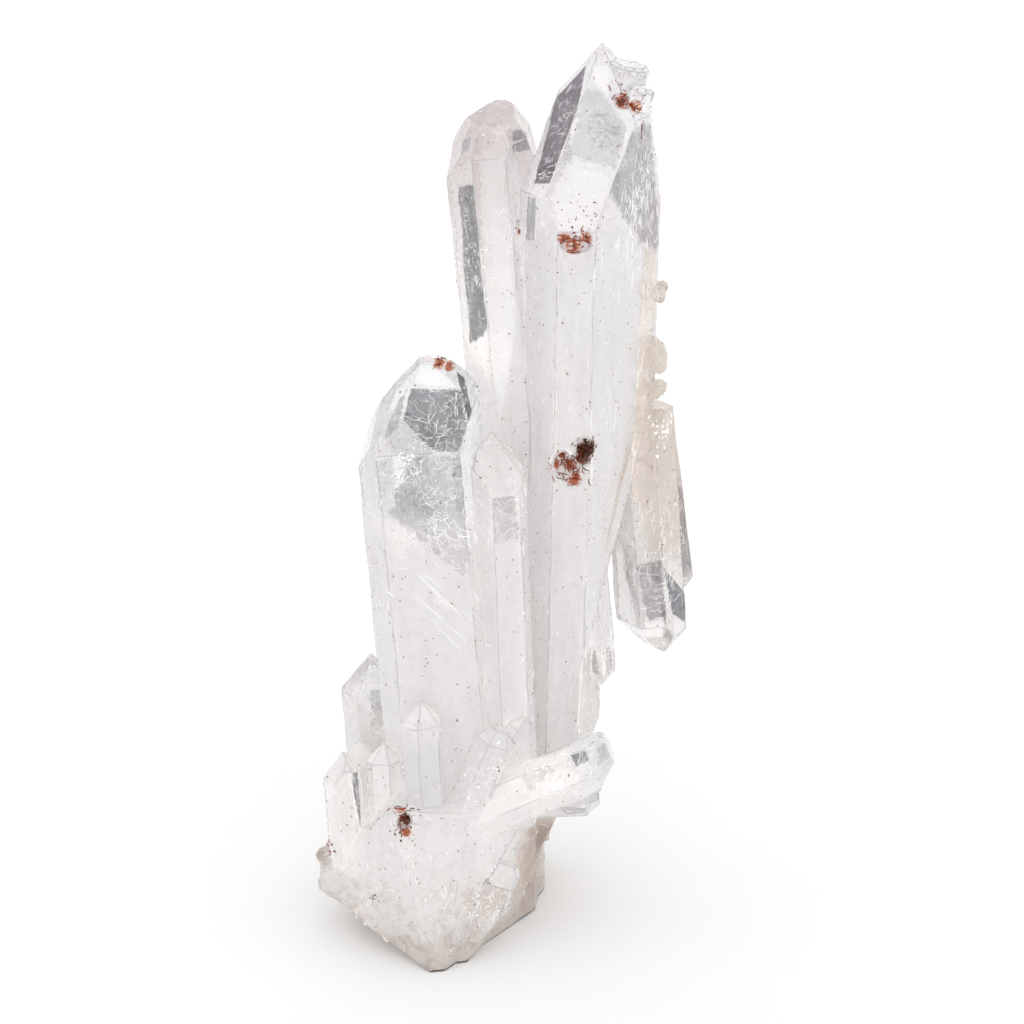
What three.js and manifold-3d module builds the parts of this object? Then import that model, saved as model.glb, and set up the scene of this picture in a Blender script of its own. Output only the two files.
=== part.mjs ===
// Clear quartz cluster, standing on the face where it broke from its bed.
// Millimetres. While it is put together the origin is the front foot of the
// cluster, with +X to the right, +Y away from the viewer and +Z up. The last
// step moves the origin to the middle of the bounding box's bottom.
import * as THREE from "three";
import { ConvexGeometry } from "three/addons/geometries/ConvexGeometry.js";
import { mergeVertices } from "three/addons/utils/BufferGeometryUtils.js";
import Module from "manifold-3d";

const wasm = await Module();
wasm.setup();

// The angle between a quartz crystal's sloping faces and its long axis.
const POINT_SLOPE = THREE.MathUtils.degToRad(38.2);
const SIXTH_TURN = Math.PI / 3;
const SAME_POINT = 1e-4;

const vector = (xyz) => new THREE.Vector3(...xyz);

// A closed three.js geometry as a solid that can be joined and cut.
function solidOf(geometry) {
  const bare = geometry.clone();
  bare.deleteAttribute("normal");
  bare.deleteAttribute("uv");
  const merged = mergeVertices(bare, SAME_POINT);
  return new wasm.Manifold(
    new wasm.Mesh({
      numProp: 3,
      vertProperties: new Float32Array(merged.attributes.position.array),
      triVerts: new Uint32Array(merged.index.array),
    }),
  );
}

// The body left inside a set of planes: its corners are the points where
// three planes meet and no other plane cuts them away.
function solidInside(planes) {
  const corners = [];
  for (let i = 0; i < planes.length; i++)
    for (let j = i + 1; j < planes.length; j++)
      for (let k = j + 1; k < planes.length; k++) {
        const corner = meetingPoint(planes[i], planes[j], planes[k]);
        if (!corner) continue;
        if (planes.some((p) => p.distanceToPoint(corner) > SAME_POINT)) continue;
        if (corners.some((c) => c.distanceTo(corner) < SAME_POINT)) continue;
        corners.push(corner);
      }
  return solidOf(new ConvexGeometry(corners));
}

function meetingPoint(a, b, c) {
  const bc = new THREE.Vector3().crossVectors(b.normal, c.normal);
  const spread = a.normal.dot(bc);
  if (Math.abs(spread) < SAME_POINT) return null;
  const ca = new THREE.Vector3().crossVectors(c.normal, a.normal);
  const ab = new THREE.Vector3().crossVectors(a.normal, b.normal);
  return bc
    .multiplyScalar(-a.constant)
    .addScaledVector(ca, -b.constant)
    .addScaledVector(ab, -c.constant)
    .divideScalar(spread);
}

const planeAt = (point, normal) =>
  new THREE.Plane().setFromNormalAndCoplanarPoint(normal.clone().normalize(), point);

// One crystal. Its axis runs from foot to head. Seen with the head up and from
// the front, widths are the distances from the axis to the six long faces:
// front, front right, back right, back, back left, front left. roll turns them
// about the axis, in degrees. shoulders are how far from the foot each sloping
// face starts; a crystal without them comes to a point at its head. blunt cuts
// the head off square at that distance from the foot, and breaks are further
// faces, each a point on it and the direction it faces.
function crystal({ foot, head, roll = 0, widths, shoulders, blunt, breaks = [] }) {
  const start = vector(foot);
  const axis = vector(head).sub(start);
  const length = axis.length();
  axis.normalize();
  const front = new THREE.Vector3(0, -1, 0);
  front.addScaledVector(axis, -front.dot(axis)).normalize();
  const right = new THREE.Vector3().crossVectors(axis, front);
  const planes = [planeAt(start, axis.clone().negate())];
  widths.forEach((width, k) => {
    const turn = THREE.MathUtils.degToRad(roll) + k * SIXTH_TURN;
    const out = front
      .clone()
      .multiplyScalar(Math.cos(turn))
      .addScaledVector(right, Math.sin(turn));
    const onFace = start.clone().addScaledVector(out, width);
    planes.push(planeAt(onFace, out));
    const rise = shoulders ? shoulders[k] : length - width / Math.tan(POINT_SLOPE);
    const slope = out
      .clone()
      .multiplyScalar(Math.cos(POINT_SLOPE))
      .addScaledVector(axis, Math.sin(POINT_SLOPE));
    planes.push(planeAt(onFace.clone().addScaledVector(axis, rise), slope));
  });
  if (blunt) planes.push(planeAt(start.clone().addScaledVector(axis, blunt), axis));
  for (const { at, facing } of breaks) planes.push(planeAt(vector(at), vector(facing)));
  return solidInside(planes);
}

// The two tall crystals that carry the cluster's height.
const tallPair = [
  {
    foot: [24, 32, 4],
    head: [26.4, 32, 144],
    roll: 3,
    widths: [10.2, 4.9, 16, 13, 9.3, 10.4],
    shoulders: [113.7, 128.5, 128, 136, 132, 118],
    breaks: [
      { at: [34.4, 36, 136], facing: [0.99, -0.1, 0.12] },
      { at: [36, 38, 81], facing: [0.954, 0, -0.3] },
    ],
  },
  {
    foot: [19.5, 36, 26],
    head: [9.4, 36, 138],
    widths: [9, 6.2, 7.6, 9, 6.2, 7.4],
    shoulders: [102.4, 104, 105, 104, 103.4, 102.6],
    breaks: [
      { at: [9.5, 31, 131.8], facing: [0.02, -0.24, 0.97] },
      { at: [4.8, 35, 129.7], facing: [-0.94, -0.2, 0.28] },
      { at: [14.8, 35, 131.4], facing: [0.78, -0.1, 0.62] },
      { at: [16.3, 35, 128], facing: [0.96, -0.1, 0.26] },
    ],
  },
];

// The broad milky crystal in front on the left, and its narrow companion.
const frontPair = [
  {
    foot: [3.2, 17, 8],
    head: [-3.4, 17, 98],
    widths: [6.2, 9.7, 9.7, 9, 7.6, 7.8],
    shoulders: [77.2, 85.2, 86.8, 86.5, 80.2, 77.6],
    breaks: [
      { at: [-9.2, 20, 86.6], facing: [-0.93, -0.1, 0.34] },
      { at: [1.6, 22, 97.4], facing: [0.08, 0.1, 0.99] },
    ],
  },
  {
    foot: [13.2, 15.5, 20],
    head: [10.7, 15.5, 87],
    roll: 18,
    widths: [4.4, 4.2, 4, 5, 4, 4.2],
    shoulders: [58, 60, 63, 63, 63, 62],
    blunt: 67.4,
  },
];

// The crystals that hang down behind the right edge.
const hangingGroup = [
  {
    foot: [35.6, 44, 82],
    head: [38.8, 42.5, 38.6],
    widths: [6, 6, 6.6, 6.5, 3.9, 4],
    shoulders: [37, 37, 37.4, 38.5, 40.5, 39.5],
    breaks: [
      { at: [36.4, 41, 80], facing: [-0.5, -0.62, 0.6] },
      { at: [36.7, 42, 40], facing: [-0.45, -0.15, -0.88] },
    ],
  },
  {
    foot: [36.5, 48, 80],
    head: [41, 47, 46],
    roll: 20,
    widths: [3.4, 3.4, 3.6, 4, 3.6, 3.4],
  },
  {
    foot: [25.9, 32, 62],
    head: [28, 32, 36.6],
    roll: 10,
    widths: [2.7, 3.4, 3.6, 2.7, 2.7, 2.5],
    shoulders: [22.2, 20.4, 20.4, 22.2, 22.4, 22.6],
  },
];

// What the tall crystals grew from, down to the ground on the right.
const rootGroup = [
  {
    foot: [17, 31.5, 1],
    head: [20.4, 34, 60],
    roll: 5,
    widths: [7.4, 8, 8, 9, 9, 7.4],
    breaks: [{ at: [27.4, 30, 29.4], facing: [0.905, 0, -0.425] }],
  },
  {
    foot: [9.5, 27, -6],
    head: [9.8, 27, 26],
    roll: 10,
    widths: [10, 8, 8.5, 13, 12, 10],
    blunt: 26,
  },
];

// The crystals that lie across the front, low on the right.
const crossGroup = [
  {
    foot: [6.4, 10.5, 23.2],
    head: [31, 10, 34.7],
    roll: -30,
    widths: [3.9, 4, 3.9, 3.9, 4, 3.9],
    shoulders: [22.4, 21.6, 21.6, 23, 25, 24.6],
    blunt: 25.5,
  },
  {
    foot: [12, 14.5, 24.6],
    head: [29.4, 13.5, 25.6],
    roll: -20,
    widths: [3.1, 3.2, 3.2, 3.2, 3.2, 3.1],
    blunt: 15.6,
  },
];

// The tuft of short crystals round the left of the foot.
const leftTuft = [
  {
    foot: [-9.2, 27, 18],
    head: [-10.8, 28, 45.3],
    widths: [4.2, 4.4, 4, 4, 4.1, 4.1],
    shoulders: [21.6, 22, 22, 22, 20.6, 20.4],
  },
  {
    foot: [-13.4, 12.6, 13],
    head: [-15.2, 15, 34.4],
    roll: 12,
    widths: [3, 2.8, 3, 3, 2.6, 2.7],
    shoulders: [17, 17.2, 17.2, 17.2, 15.6, 15.2],
  },
  {
    foot: [-6.8, 11.5, 12],
    head: [-7.6, 13.5, 35],
    roll: -10,
    widths: [2.6, 2.6, 2.6, 2.6, 2.6, 2.6],
  },
  {
    foot: [-9.8, 18, 14],
    head: [-12, 20, 32.6],
    roll: 25,
    widths: [3.2, 3.2, 3, 3, 3.2, 3.2],
  },
  {
    foot: [-9, 17, 8.5],
    head: [-19.8, 17, 13.6],
    roll: 10,
    widths: [3.2, 3, 3, 3.2, 3, 3],
    blunt: 11.2,
  },
  {
    foot: [-6, 11, 13.5],
    head: [-19.8, 14.5, 8],
    roll: 30,
    widths: [2.6, 2.6, 2.4, 2.4, 2.6, 2.6],
    blunt: 13.8,
  },
];

// Small crystals that stand against the front.
const frontTuft = [
  {
    foot: [0.1, 9.5, 18],
    head: [-1.3, 8.5, 44.6],
    roll: 20,
    widths: [3, 2.9, 2.9, 3, 3.1, 3.1],
  },
  {
    foot: [5.5, 9, 23],
    head: [12, 9.5, 40.6],
    roll: 8,
    widths: [3, 2.9, 3, 3, 2.9, 3],
    blunt: 17,
  },
  {
    foot: [11.4, 12, 33],
    head: [15.6, 11, 40.6],
    roll: 20,
    widths: [1.8, 1.7, 1.8, 1.8, 1.7, 1.8],
  },
  {
    foot: [2.5, 6.2, -4],
    head: [12, 10.5, 19],
    roll: 12,
    widths: [3.9, 4.7, 4.2, 3.6, 4.6, 4.6],
    shoulders: [18.2, 20, 20.6, 20, 18.6, 18.6],
    blunt: 21.4,
    breaks: [{ at: [7.4, 6.7, 0], facing: [0.8, -0.35, -0.48] }],
  },
];

// Splinters that stayed on the tallest crystal's right shoulder.
const shoulderChips = [
  {
    foot: [29.2, 41, 127],
    head: [32.6, 40.5, 143.4],
    roll: 15,
    widths: [2.9, 3, 3, 3, 2.8, 2.9],
    blunt: 13.6,
  },
  {
    foot: [28.6, 38.5, 126],
    head: [34.8, 38.5, 139],
    roll: -8,
    widths: [2.2, 2, 2, 2.4, 2, 2.2],
    blunt: 12.4,
  },
];

// Crystals on the side turned away from the viewer.
const backGroup = [
  {
    foot: [0, 35, 4],
    head: [-4.6, 40.5, 73],
    roll: 12,
    widths: [5, 4.8, 5.2, 5, 4.6, 4.8],
    shoulders: [61, 64, 64, 61.5, 64, 64],
  },
  {
    foot: [15, 38, 6],
    head: [24.5, 46.5, 53],
    roll: -14,
    widths: [4.4, 4.2, 4.4, 4.2, 4.4, 4.2],
  },
  {
    foot: [8, 38, 4],
    head: [10.6, 51.5, 36],
    roll: 22,
    widths: [3.8, 3.6, 3.8, 3.6, 3.8, 3.6],
  },
  {
    foot: [-3, 34, 3],
    head: [-8, 47, 27],
    roll: 6,
    widths: [3.4, 3.2, 3.4, 3.2, 3.4, 3.2],
  },
];

// The broken mass at the foot, as the corners of a blunt wedge.
const footMass = [
  [0, 0, 0],
  [2.4, 0.5, 0],
  [17.2, 21.5, 0],
  [18.3, 31, 0],
  [16, 38, 0],
  [6, 44, 0],
  [-9, 40, 0],
  [-12, 20, 0],
  [-19, 15, 7.6],
  [-19, 20, 10],
  [-13.5, 9.5, 17],
  [-6, 5, 27],
  [6, 4, 26],
  [9.5, 5.5, 14],
  [17.5, 20, 22],
  [17.5, 38, 22],
  [2, 45, 28],
  [-12, 38, 22],
];

// Rounded beige growths on the right edge: middle, half sizes and turn.
const lumps = [
  { at: [37.4, 41.4, 102.7], half: [1.4, 1.9, 2], turn: 0.3 },
  { at: [37.1, 41.6, 91.8], half: [1.9, 2.6, 3.4], turn: -0.2 },
  { at: [37.3, 41.2, 86.1], half: [1.5, 1.8, 1.9], turn: 0.5 },
];

// Etched hollows: middle, half sizes and turn.
const hollows = [
  { at: [24.9, 22, 81.8], half: [2.6, 1.2, 2.2], turn: 0.5 },
  { at: [21.8, 22, 79.4], half: [2, 1, 2.6], turn: -0.4 },
  { at: [23.1, 21.7, 115.6], half: [2.4, 1, 1.2], turn: 0.1 },
  { at: [30.6, 35.7, 135.4], half: [1.7, 1.5, 1.4], turn: 0.7 },
  { at: [-3.9, 5, 24.7], half: [1.1, 0.9, 1.5], turn: 0.3 },
];

// A rounded, faceted body.
const lumpSolid = ({ at, half, turn }) =>
  solidOf(
    new THREE.IcosahedronGeometry(1, 1)
      .scale(...half)
      .rotateY(turn)
      .translate(...at),
  );

const crystals = [
  tallPair,
  frontPair,
  hangingGroup,
  rootGroup,
  crossGroup,
  leftTuft,
  frontTuft,
  shoulderChips,
  backGroup,
].flatMap((group) => group.map(crystal));
const mass = solidOf(new ConvexGeometry(footMass.map(vector)));
const joined = wasm.Manifold.union([...crystals, ...lumps.map(lumpSolid), mass]);
const etched = joined.subtract(wasm.Manifold.union(hollows.map(lumpSolid)));

// The ground: the cluster stands on its cut, so nothing is left below it.
const GROUND_BLOCK = 200;
const ground = solidOf(
  new THREE.BoxGeometry(GROUND_BLOCK, GROUND_BLOCK, GROUND_BLOCK).translate(
    0,
    0,
    -GROUND_BLOCK / 2,
  ),
);
const standing = etched.subtract(ground);

const box = standing.boundingBox();
const placed = standing.translate([
  -(box.min[0] + box.max[0]) / 2,
  -(box.min[1] + box.max[1]) / 2,
  -box.min[2],
]);

function meshOf(solid, name, material) {
  const { numProp, numVert, vertProperties, triVerts } = solid.getMesh();
  const positions = new Float32Array(numVert * 3);
  for (let i = 0; i < numVert; i++)
    positions.set(vertProperties.subarray(i * numProp, i * numProp + 3), i * 3);
  const geometry = new THREE.BufferGeometry()
    .setAttribute("position", new THREE.BufferAttribute(positions, 3))
    .setIndex(new THREE.BufferAttribute(triVerts, 1))
    .toNonIndexed();
  geometry.computeVertexNormals();
  const mesh = new THREE.Mesh(geometry, material);
  mesh.name = name;
  return mesh;
}

const clearQuartz = new THREE.MeshStandardMaterial({
  color: 0xf1eeec,
  roughness: 0.12,
  metalness: 0,
  transparent: true,
  opacity: 0.55,
});

const cluster = new THREE.Group();
cluster.add(meshOf(placed, "quartz_cluster", clearQuartz));
export default cluster;
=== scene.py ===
# %% [markdown]
# # A clear quartz cluster
# Quartz grows as six-sided prisms that end in six sloping faces. In this cluster
# the points are clear, the bodies are clouded with milk-white inclusions, and iron
# has left rust-brown stains in a few pits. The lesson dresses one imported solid:
# its skin becomes glass with worn edges and growth lines, and what the eye sees
# inside it is made as clouds, healed cracks, fine needles and specks of iron.

import math

import bmesh
import bpy
import numpy as np
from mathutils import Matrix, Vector
from mathutils.bvhtree import BVHTree


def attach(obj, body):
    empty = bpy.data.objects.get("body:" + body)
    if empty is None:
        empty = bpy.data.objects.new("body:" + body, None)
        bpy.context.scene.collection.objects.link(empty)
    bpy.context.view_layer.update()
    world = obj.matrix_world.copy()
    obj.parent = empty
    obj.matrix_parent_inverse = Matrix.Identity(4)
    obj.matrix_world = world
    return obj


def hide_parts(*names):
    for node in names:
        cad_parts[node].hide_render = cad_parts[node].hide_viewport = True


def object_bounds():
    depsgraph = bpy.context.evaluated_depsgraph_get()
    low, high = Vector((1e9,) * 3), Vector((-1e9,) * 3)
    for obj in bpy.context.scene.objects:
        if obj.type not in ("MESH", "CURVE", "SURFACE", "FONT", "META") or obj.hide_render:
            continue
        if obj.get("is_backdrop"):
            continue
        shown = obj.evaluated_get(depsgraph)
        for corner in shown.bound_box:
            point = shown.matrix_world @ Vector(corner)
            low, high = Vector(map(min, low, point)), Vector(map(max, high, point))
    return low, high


MM = 0.001
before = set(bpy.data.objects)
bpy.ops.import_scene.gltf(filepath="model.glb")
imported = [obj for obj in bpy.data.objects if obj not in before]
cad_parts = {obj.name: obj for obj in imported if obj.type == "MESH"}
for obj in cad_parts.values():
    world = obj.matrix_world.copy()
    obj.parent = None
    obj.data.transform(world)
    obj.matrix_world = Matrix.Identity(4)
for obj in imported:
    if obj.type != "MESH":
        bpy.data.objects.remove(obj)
cad_box = [list(corner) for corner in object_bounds()]
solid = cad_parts["quartz_cluster"]
print("CAD box in mm:", [[round(x / MM, 2) for x in corner] for corner in cad_box])

# %% [markdown]
# Places are given in millimetres from the front foot of the cluster, the corner
# where it meets the floor nearest to the viewer, with +X to the right, +Y away
# and +Z up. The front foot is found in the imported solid: of the points on the
# floor it is the one with the lowest Y.

# %% The front foot
def vertices_of(mesh):
    """All vertex positions of a mesh as an array of rows x, y, z."""
    flat = np.empty(len(mesh.vertices) * 3)
    mesh.vertices.foreach_get("co", flat)
    return flat.reshape(-1, 3)


ON_FLOOR = 0.01 * MM
solid_points = vertices_of(solid.data)
floor_points = solid_points[solid_points[:, 2] < ON_FLOOR]
FRONT_FOOT = floor_points[floor_points[:, 1].argmin()]
print("front foot in mm:", np.round(FRONT_FOOT / MM, 2))


def placed(points_mm):
    """Points in mm from the front foot, as metres in the frame: foot + p / 1000."""
    return FRONT_FOOT + np.asarray(points_mm, float) * MM


# %% [markdown]
# The photograph looks down on the cluster by 20 degrees from the front, through a
# long lens, so upright edges stay almost parallel. The camera looks at a point in
# the cluster's middle from 46 cm away.

# %% Camera
CAMERA_AIM = (13.277, 25.0, 70.335)
CAMERA_DISTANCE = 460.0
CAMERA_TILT = math.radians(20)
camera = bpy.data.objects.new("camera", bpy.data.cameras.new("camera"))
camera.data.lens = 100
camera.data.sensor_width = 36
camera.data.clip_start = 0.02
camera.data.clip_end = 20
back = Vector((0, -math.cos(CAMERA_TILT), math.sin(CAMERA_TILT)))
camera.location = Vector(placed(CAMERA_AIM)) + back * CAMERA_DISTANCE * MM
camera.rotation_euler = (-back).to_track_quat("-Z", "Y").to_euler()
bpy.context.scene.collection.objects.link(camera)
bpy.context.scene.camera = camera
print("camera at", [round(x, 3) for x in camera.location])

# %% [markdown]
# The light and every material are built from a few kinds of shader node. Each
# helper makes one kind in one call, so that the recipes read as sums.

# %% Shader nodes
def node_of(tree, kind, **values):
    """A new shader node with its settings and plain socket values."""
    node = tree.nodes.new(kind)
    for name, value in values.items():
        if name in node.bl_rna.properties:
            setattr(node, name, value)
        else:
            node.inputs[name.replace("_", " ")].default_value = value
    return node


def maths(tree, operation, a, b=None, c=None, clamp=False):
    """One Math node: a, b and c are sockets or plain numbers. Returns its output."""
    node = tree.nodes.new("ShaderNodeMath")
    node.operation = operation
    node.use_clamp = clamp
    for socket, value in zip(node.inputs, (a, b, c)):
        if isinstance(value, bpy.types.NodeSocket):
            tree.links.new(value, socket)
        elif value is not None:
            socket.default_value = value
    return node.outputs[0]


def ramp(tree, value, low, high, to_low=0.0, to_high=1.0):
    """A smooth step: to_low below low, to_high above high. Returns the output."""
    node = tree.nodes.new("ShaderNodeMapRange")
    node.interpolation_type = "SMOOTHSTEP"
    tree.links.new(value, node.inputs["Value"])
    for name, number in zip(
        ("From Min", "From Max", "To Min", "To Max"), (low, high, to_low, to_high)
    ):
        node.inputs[name].default_value = number
    return node.outputs["Result"]


def mixed(tree, share, a, b):
    """A colour between a and b. Each may be a socket or a plain colour."""
    node = tree.nodes.new("ShaderNodeMix")
    node.data_type = "RGBA"
    colours = [socket for socket in node.inputs if socket.type == "RGBA"]
    for socket, value in zip((node.inputs["Factor"], *colours), (share, a, b)):
        if isinstance(value, bpy.types.NodeSocket):
            tree.links.new(value, socket)
        else:
            socket.default_value = value
    return next(socket for socket in node.outputs if socket.type == "RGBA")


print("node helpers ready")

# %% [markdown]
# Glass shows its surroundings more than itself. A white tent of light keeps the
# crystal bright on a bright ground, and two dark cards beside it, soft at their
# edges, draw its outline in grey. All of that is painted on the world by
# direction: white everywhere, but for the cards low on the left and right.

# %% Studio light
TENT_LIGHT = 1.2
TENT_COLOUR = (1.0, 0.995, 0.99, 1.0)
CARD_COLOUR = (0.34, 0.33, 0.34, 1.0)
CARD_REACH = 0.68
CARD_SIDE_FADE = 0.2
CARD_TOP = 0.5
CARD_TOP_FADE = 0.15


def build_world():
    """White tent with a soft dark card on either side, by direction alone."""
    world = bpy.data.worlds.new("light_tent")
    bpy.context.scene.world = world
    world.use_nodes = True
    tree = world.node_tree
    background = tree.nodes["Background"]
    background.inputs["Strength"].default_value = TENT_LIGHT
    direction = node_of(tree, "ShaderNodeTexCoord")
    parts = node_of(tree, "ShaderNodeSeparateXYZ")
    tree.links.new(direction.outputs["Generated"], parts.inputs[0])
    sideways = maths(tree, "ABSOLUTE", parts.outputs["X"])
    beside = ramp(tree, sideways, CARD_REACH, CARD_REACH + CARD_SIDE_FADE)
    low = ramp(tree, parts.outputs["Z"], CARD_TOP - CARD_TOP_FADE, CARD_TOP, 1.0, 0.0)
    card = maths(tree, "MULTIPLY", beside, low)
    colour = mixed(tree, card, TENT_COLOUR, CARD_COLOUR)
    tree.links.new(colour, background.inputs["Color"])


build_world()
print("studio: a tent and two cards")

# %% [markdown]
# The stone stands on a white sweep that runs far past the view on every side. Light
# passes through many faces of glass before it reaches the camera, so its paths may
# be long.

# %% Floor and light paths
FLOOR_COLOUR = (0.92, 0.925, 0.932, 1)
FLOOR_HALF = 4.0
FLOOR_ROUGHNESS = 0.9
FLOOR_SHINE = 0.1


def shown(mesh):
    """The mesh as an object in the scene, at the origin, under the mesh's name."""
    piece = bpy.data.objects.new(mesh.name, mesh)
    bpy.context.scene.collection.objects.link(piece)
    return piece


def build_floor():
    """A white square, matt, with only a trace of shine."""
    mesh = bpy.data.meshes.new("floor")
    corners = [(x * FLOOR_HALF, y * FLOOR_HALF, 0) for x, y in ((-1, -1), (1, -1), (1, 1), (-1, 1))]
    mesh.from_pydata(corners, [], [(0, 1, 2, 3)])
    floor = shown(mesh)
    material = bpy.data.materials.new("white_sweep")
    material.use_nodes = True
    shader = material.node_tree.nodes["Principled BSDF"]
    shader.inputs["Base Color"].default_value = FLOOR_COLOUR
    shader.inputs["Roughness"].default_value = FLOOR_ROUGHNESS
    shader.inputs["Specular IOR Level"].default_value = FLOOR_SHINE
    mesh.materials.append(material)
    floor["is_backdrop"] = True


build_floor()
scene = bpy.context.scene
scene.view_settings.view_transform = "Standard"
scene.cycles.max_bounces = 20
scene.cycles.diffuse_bounces = 8
scene.cycles.glossy_bounces = 8
scene.cycles.transmission_bounces = 16
scene.cycles.transparent_max_bounces = 24
print("floor laid, light paths of up to", scene.cycles.max_bounces, "steps")

# %% [markdown]
# Every crystal has its own long axis. The growth lines on its faces, the milk in
# its core and the tint of the stone all follow that axis, so the crystals are
# listed once: foot and head of the axis, how far the sides reach from it, and the
# tint at the foot and at the head. The last three aren't crystals but stained
# parts of the body, which have a tint of their own.

# %% The crystals
WHITE = (0.865, 0.855, 0.852)
SNOW = (0.91, 0.90, 0.895)
LILAC = (0.88, 0.865, 0.895)
ROSE = (0.74, 0.675, 0.675)
COOL = (0.88, 0.885, 0.90)
BEIGE = (0.80, 0.755, 0.71)
PEARL = (0.85, 0.84, 0.842)
SAND = (0.6, 0.52, 0.475)
CLAY = (0.66, 0.59, 0.53)

CRYSTALS = {
    "tallest": ((24, 32, 4), (26.4, 32, 144), 11.5, WHITE, LILAC),
    "tall_left": ((19.5, 36, 26), (9.4, 36, 138), 7.5, SNOW, ROSE),
    "broad_front": ((3.2, 17, 8), (-2.5, 17, 98), 8.4, WHITE, COOL),
    "narrow_front": ((13, 15.5, 22), (10.7, 15.5, 87), 4.3, WHITE, WHITE),
    "hanging": ((35.6, 44, 82), (38.8, 42.5, 38.6), 5.8, BEIGE, COOL),
    "hanging_small": ((36.5, 48, 80), (41, 47, 46), 3.5, ROSE, LILAC),
    "hanging_least": ((25.9, 32, 62), (28, 32, 36.6), 3.0, WHITE, COOL),
    "root": ((17, 31.5, 1), (20.4, 34, 60), 8.2, BEIGE, WHITE),
    "root_broad": ((9.5, 27, -6), (9.8, 27, 27), 10.5, BEIGE, SNOW),
    "crossing": ((6.4, 10.5, 23.2), (31, 10, 34.7), 4.0, SNOW, COOL),
    "crossing_low": ((12, 14.5, 24.6), (29.4, 13.5, 25.6), 3.2, WHITE, COOL),
    "left_back": ((-9.2, 27, 18), (-10.8, 28, 45.3), 4.2, WHITE, COOL),
    "left_front": ((-13.4, 12.6, 13), (-15.2, 15, 34.4), 2.9, SNOW, SNOW),
    "left_inner": ((-6.8, 11.5, 12), (-7.6, 13.5, 35), 2.6, SNOW, SNOW),
    "left_middle": ((-9.8, 18, 14), (-12, 20, 32.6), 3.1, SNOW, SNOW),
    "left_side": ((-9, 17, 8.5), (-19.8, 17, 13.6), 3.1, WHITE, SAND),
    "left_low": ((-6, 11, 13.5), (-19.8, 14.5, 8), 2.6, WHITE, BEIGE),
    "front_left": ((0.1, 9.5, 18), (-1.3, 8.5, 44.6), 3.0, PEARL, PEARL),
    "front_right": ((5.5, 9, 23), (12, 9.5, 40.6), 3.0, WHITE, WHITE),
    "front_chip": ((11.4, 12, 33), (15.6, 11, 40.6), 1.8, WHITE, WHITE),
    "front_foot": ((2.5, 6.2, -4), (12, 10.5, 19), 4.3, WHITE, SNOW),
    "shoulder": ((29.2, 41, 127), (32.6, 40.5, 143.4), 2.9, COOL, COOL),
    "shoulder_small": ((28.6, 38.5, 126), (34.8, 38.5, 139), 2.2, COOL, COOL),
    "back_left": ((0, 35, 4), (-4.6, 40.5, 73), 4.9, WHITE, COOL),
    "back_right": ((15, 38, 6), (24.5, 46.5, 53), 4.3, WHITE, COOL),
    "back_middle": ((8, 38, 4), (10.6, 51.5, 36), 3.7, WHITE, COOL),
    "back_low": ((-3, 34, 3), (-8, 47, 27), 3.3, WHITE, WHITE),
    "stained_root": ((16.5, 21.5, -3), (18, 23, 17), 5.0, SAND, SAND),
    "beige_crust": ((37, 40, 112), (33.5, 38, 66), 2.7, BEIGE, BEIGE),
    "clay_crust": ((33.3, 36.8, 81), (27.6, 26.3, 58), 1.3, CLAY, CLAY),
}


def axes_of(foot, head):
    """Unit vectors of a crystal: front (towards -Y), right and along, and length."""
    foot, head = np.array(foot, float), np.array(head, float)
    length = np.linalg.norm(head - foot)
    along = (head - foot) / length
    front = np.array([0.0, -1.0, 0.0])
    front -= front @ along * along
    front /= np.linalg.norm(front)
    return front, np.cross(along, front), along, length


print(len(CRYSTALS), "parts with their own axis share one body")

# %% [markdown]
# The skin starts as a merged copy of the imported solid. Long edges are split, so
# that the flat faces can be given the slight unevenness of natural ones. In the
# broken foot and round the small marks the pieces are finer than elsewhere. Every
# sharp edge is worn by a narrow bevel, which catches light as a thin line. The
# knobs on the right edge are rounded growths: they have lumps instead of bevels.

# %% Split faces and worn edges
LONGEST_EDGE = 2.2 * MM
FINE_EDGE = 1.1 * MM
FOOT_TOP = 22.0
EDGE_WEAR = 0.12 * MM
SHARP_EDGE = math.radians(12)
SAME_POINT = 0.02 * MM

# A middle and how far the finer faces reach from it.
FINE_PLACES = {
    "broad_cap": ((1.5, 15, 90), 10),
    "tall_cap": ((26, 32, 128), 15),
    "hanging": ((37.5, 40, 50), 9),
    "high_knob": ((37.4, 41.4, 102.7), 3),
    "low_knobs": ((37.2, 41.4, 89.5), 6),
    "clay_crust": ((30.5, 31.5, 69.5), 14),
}
KNOBS = ((37.4, 41.4, 102.7), (37.1, 41.6, 91.8), (37.3, 41.2, 86.1))
KNOB_REACH = 3.0
fine_spheres = [(Vector(placed(middle)), reach * MM) for middle, reach in FINE_PLACES.values()]
knob_spheres = [(Vector(placed(middle)), KNOB_REACH * MM) for middle in KNOBS]


def within(edge, spheres):
    """Whether the middle of an edge lies in one of the spheres."""
    middle = (edge.verts[0].co + edge.verts[1].co) / 2
    return any((middle - centre).length < reach for centre, reach in spheres)


def edge_limit(edge):
    """The longest an edge may be: short in the foot and in the fine places."""
    height = (edge.verts[0].co.z + edge.verts[1].co.z) / 2
    fine = height < FOOT_TOP * MM or within(edge, fine_spheres)
    return FINE_EDGE if fine else LONGEST_EDGE


def split_long_edges(bm):
    """Halves the edges over their limit, as often as the longest needs."""
    most = max(e.calc_length() for e in bm.edges)
    for _ in range(math.ceil(math.log2(most / FINE_EDGE))):
        long = [e for e in bm.edges if e.calc_length() > edge_limit(e)]
        bmesh.ops.subdivide_edges(bm, edges=long, cuts=1)
        cornered = [f for f in bm.faces if len(f.verts) > 3]
        bmesh.ops.triangulate(bm, faces=cornered)


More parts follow.
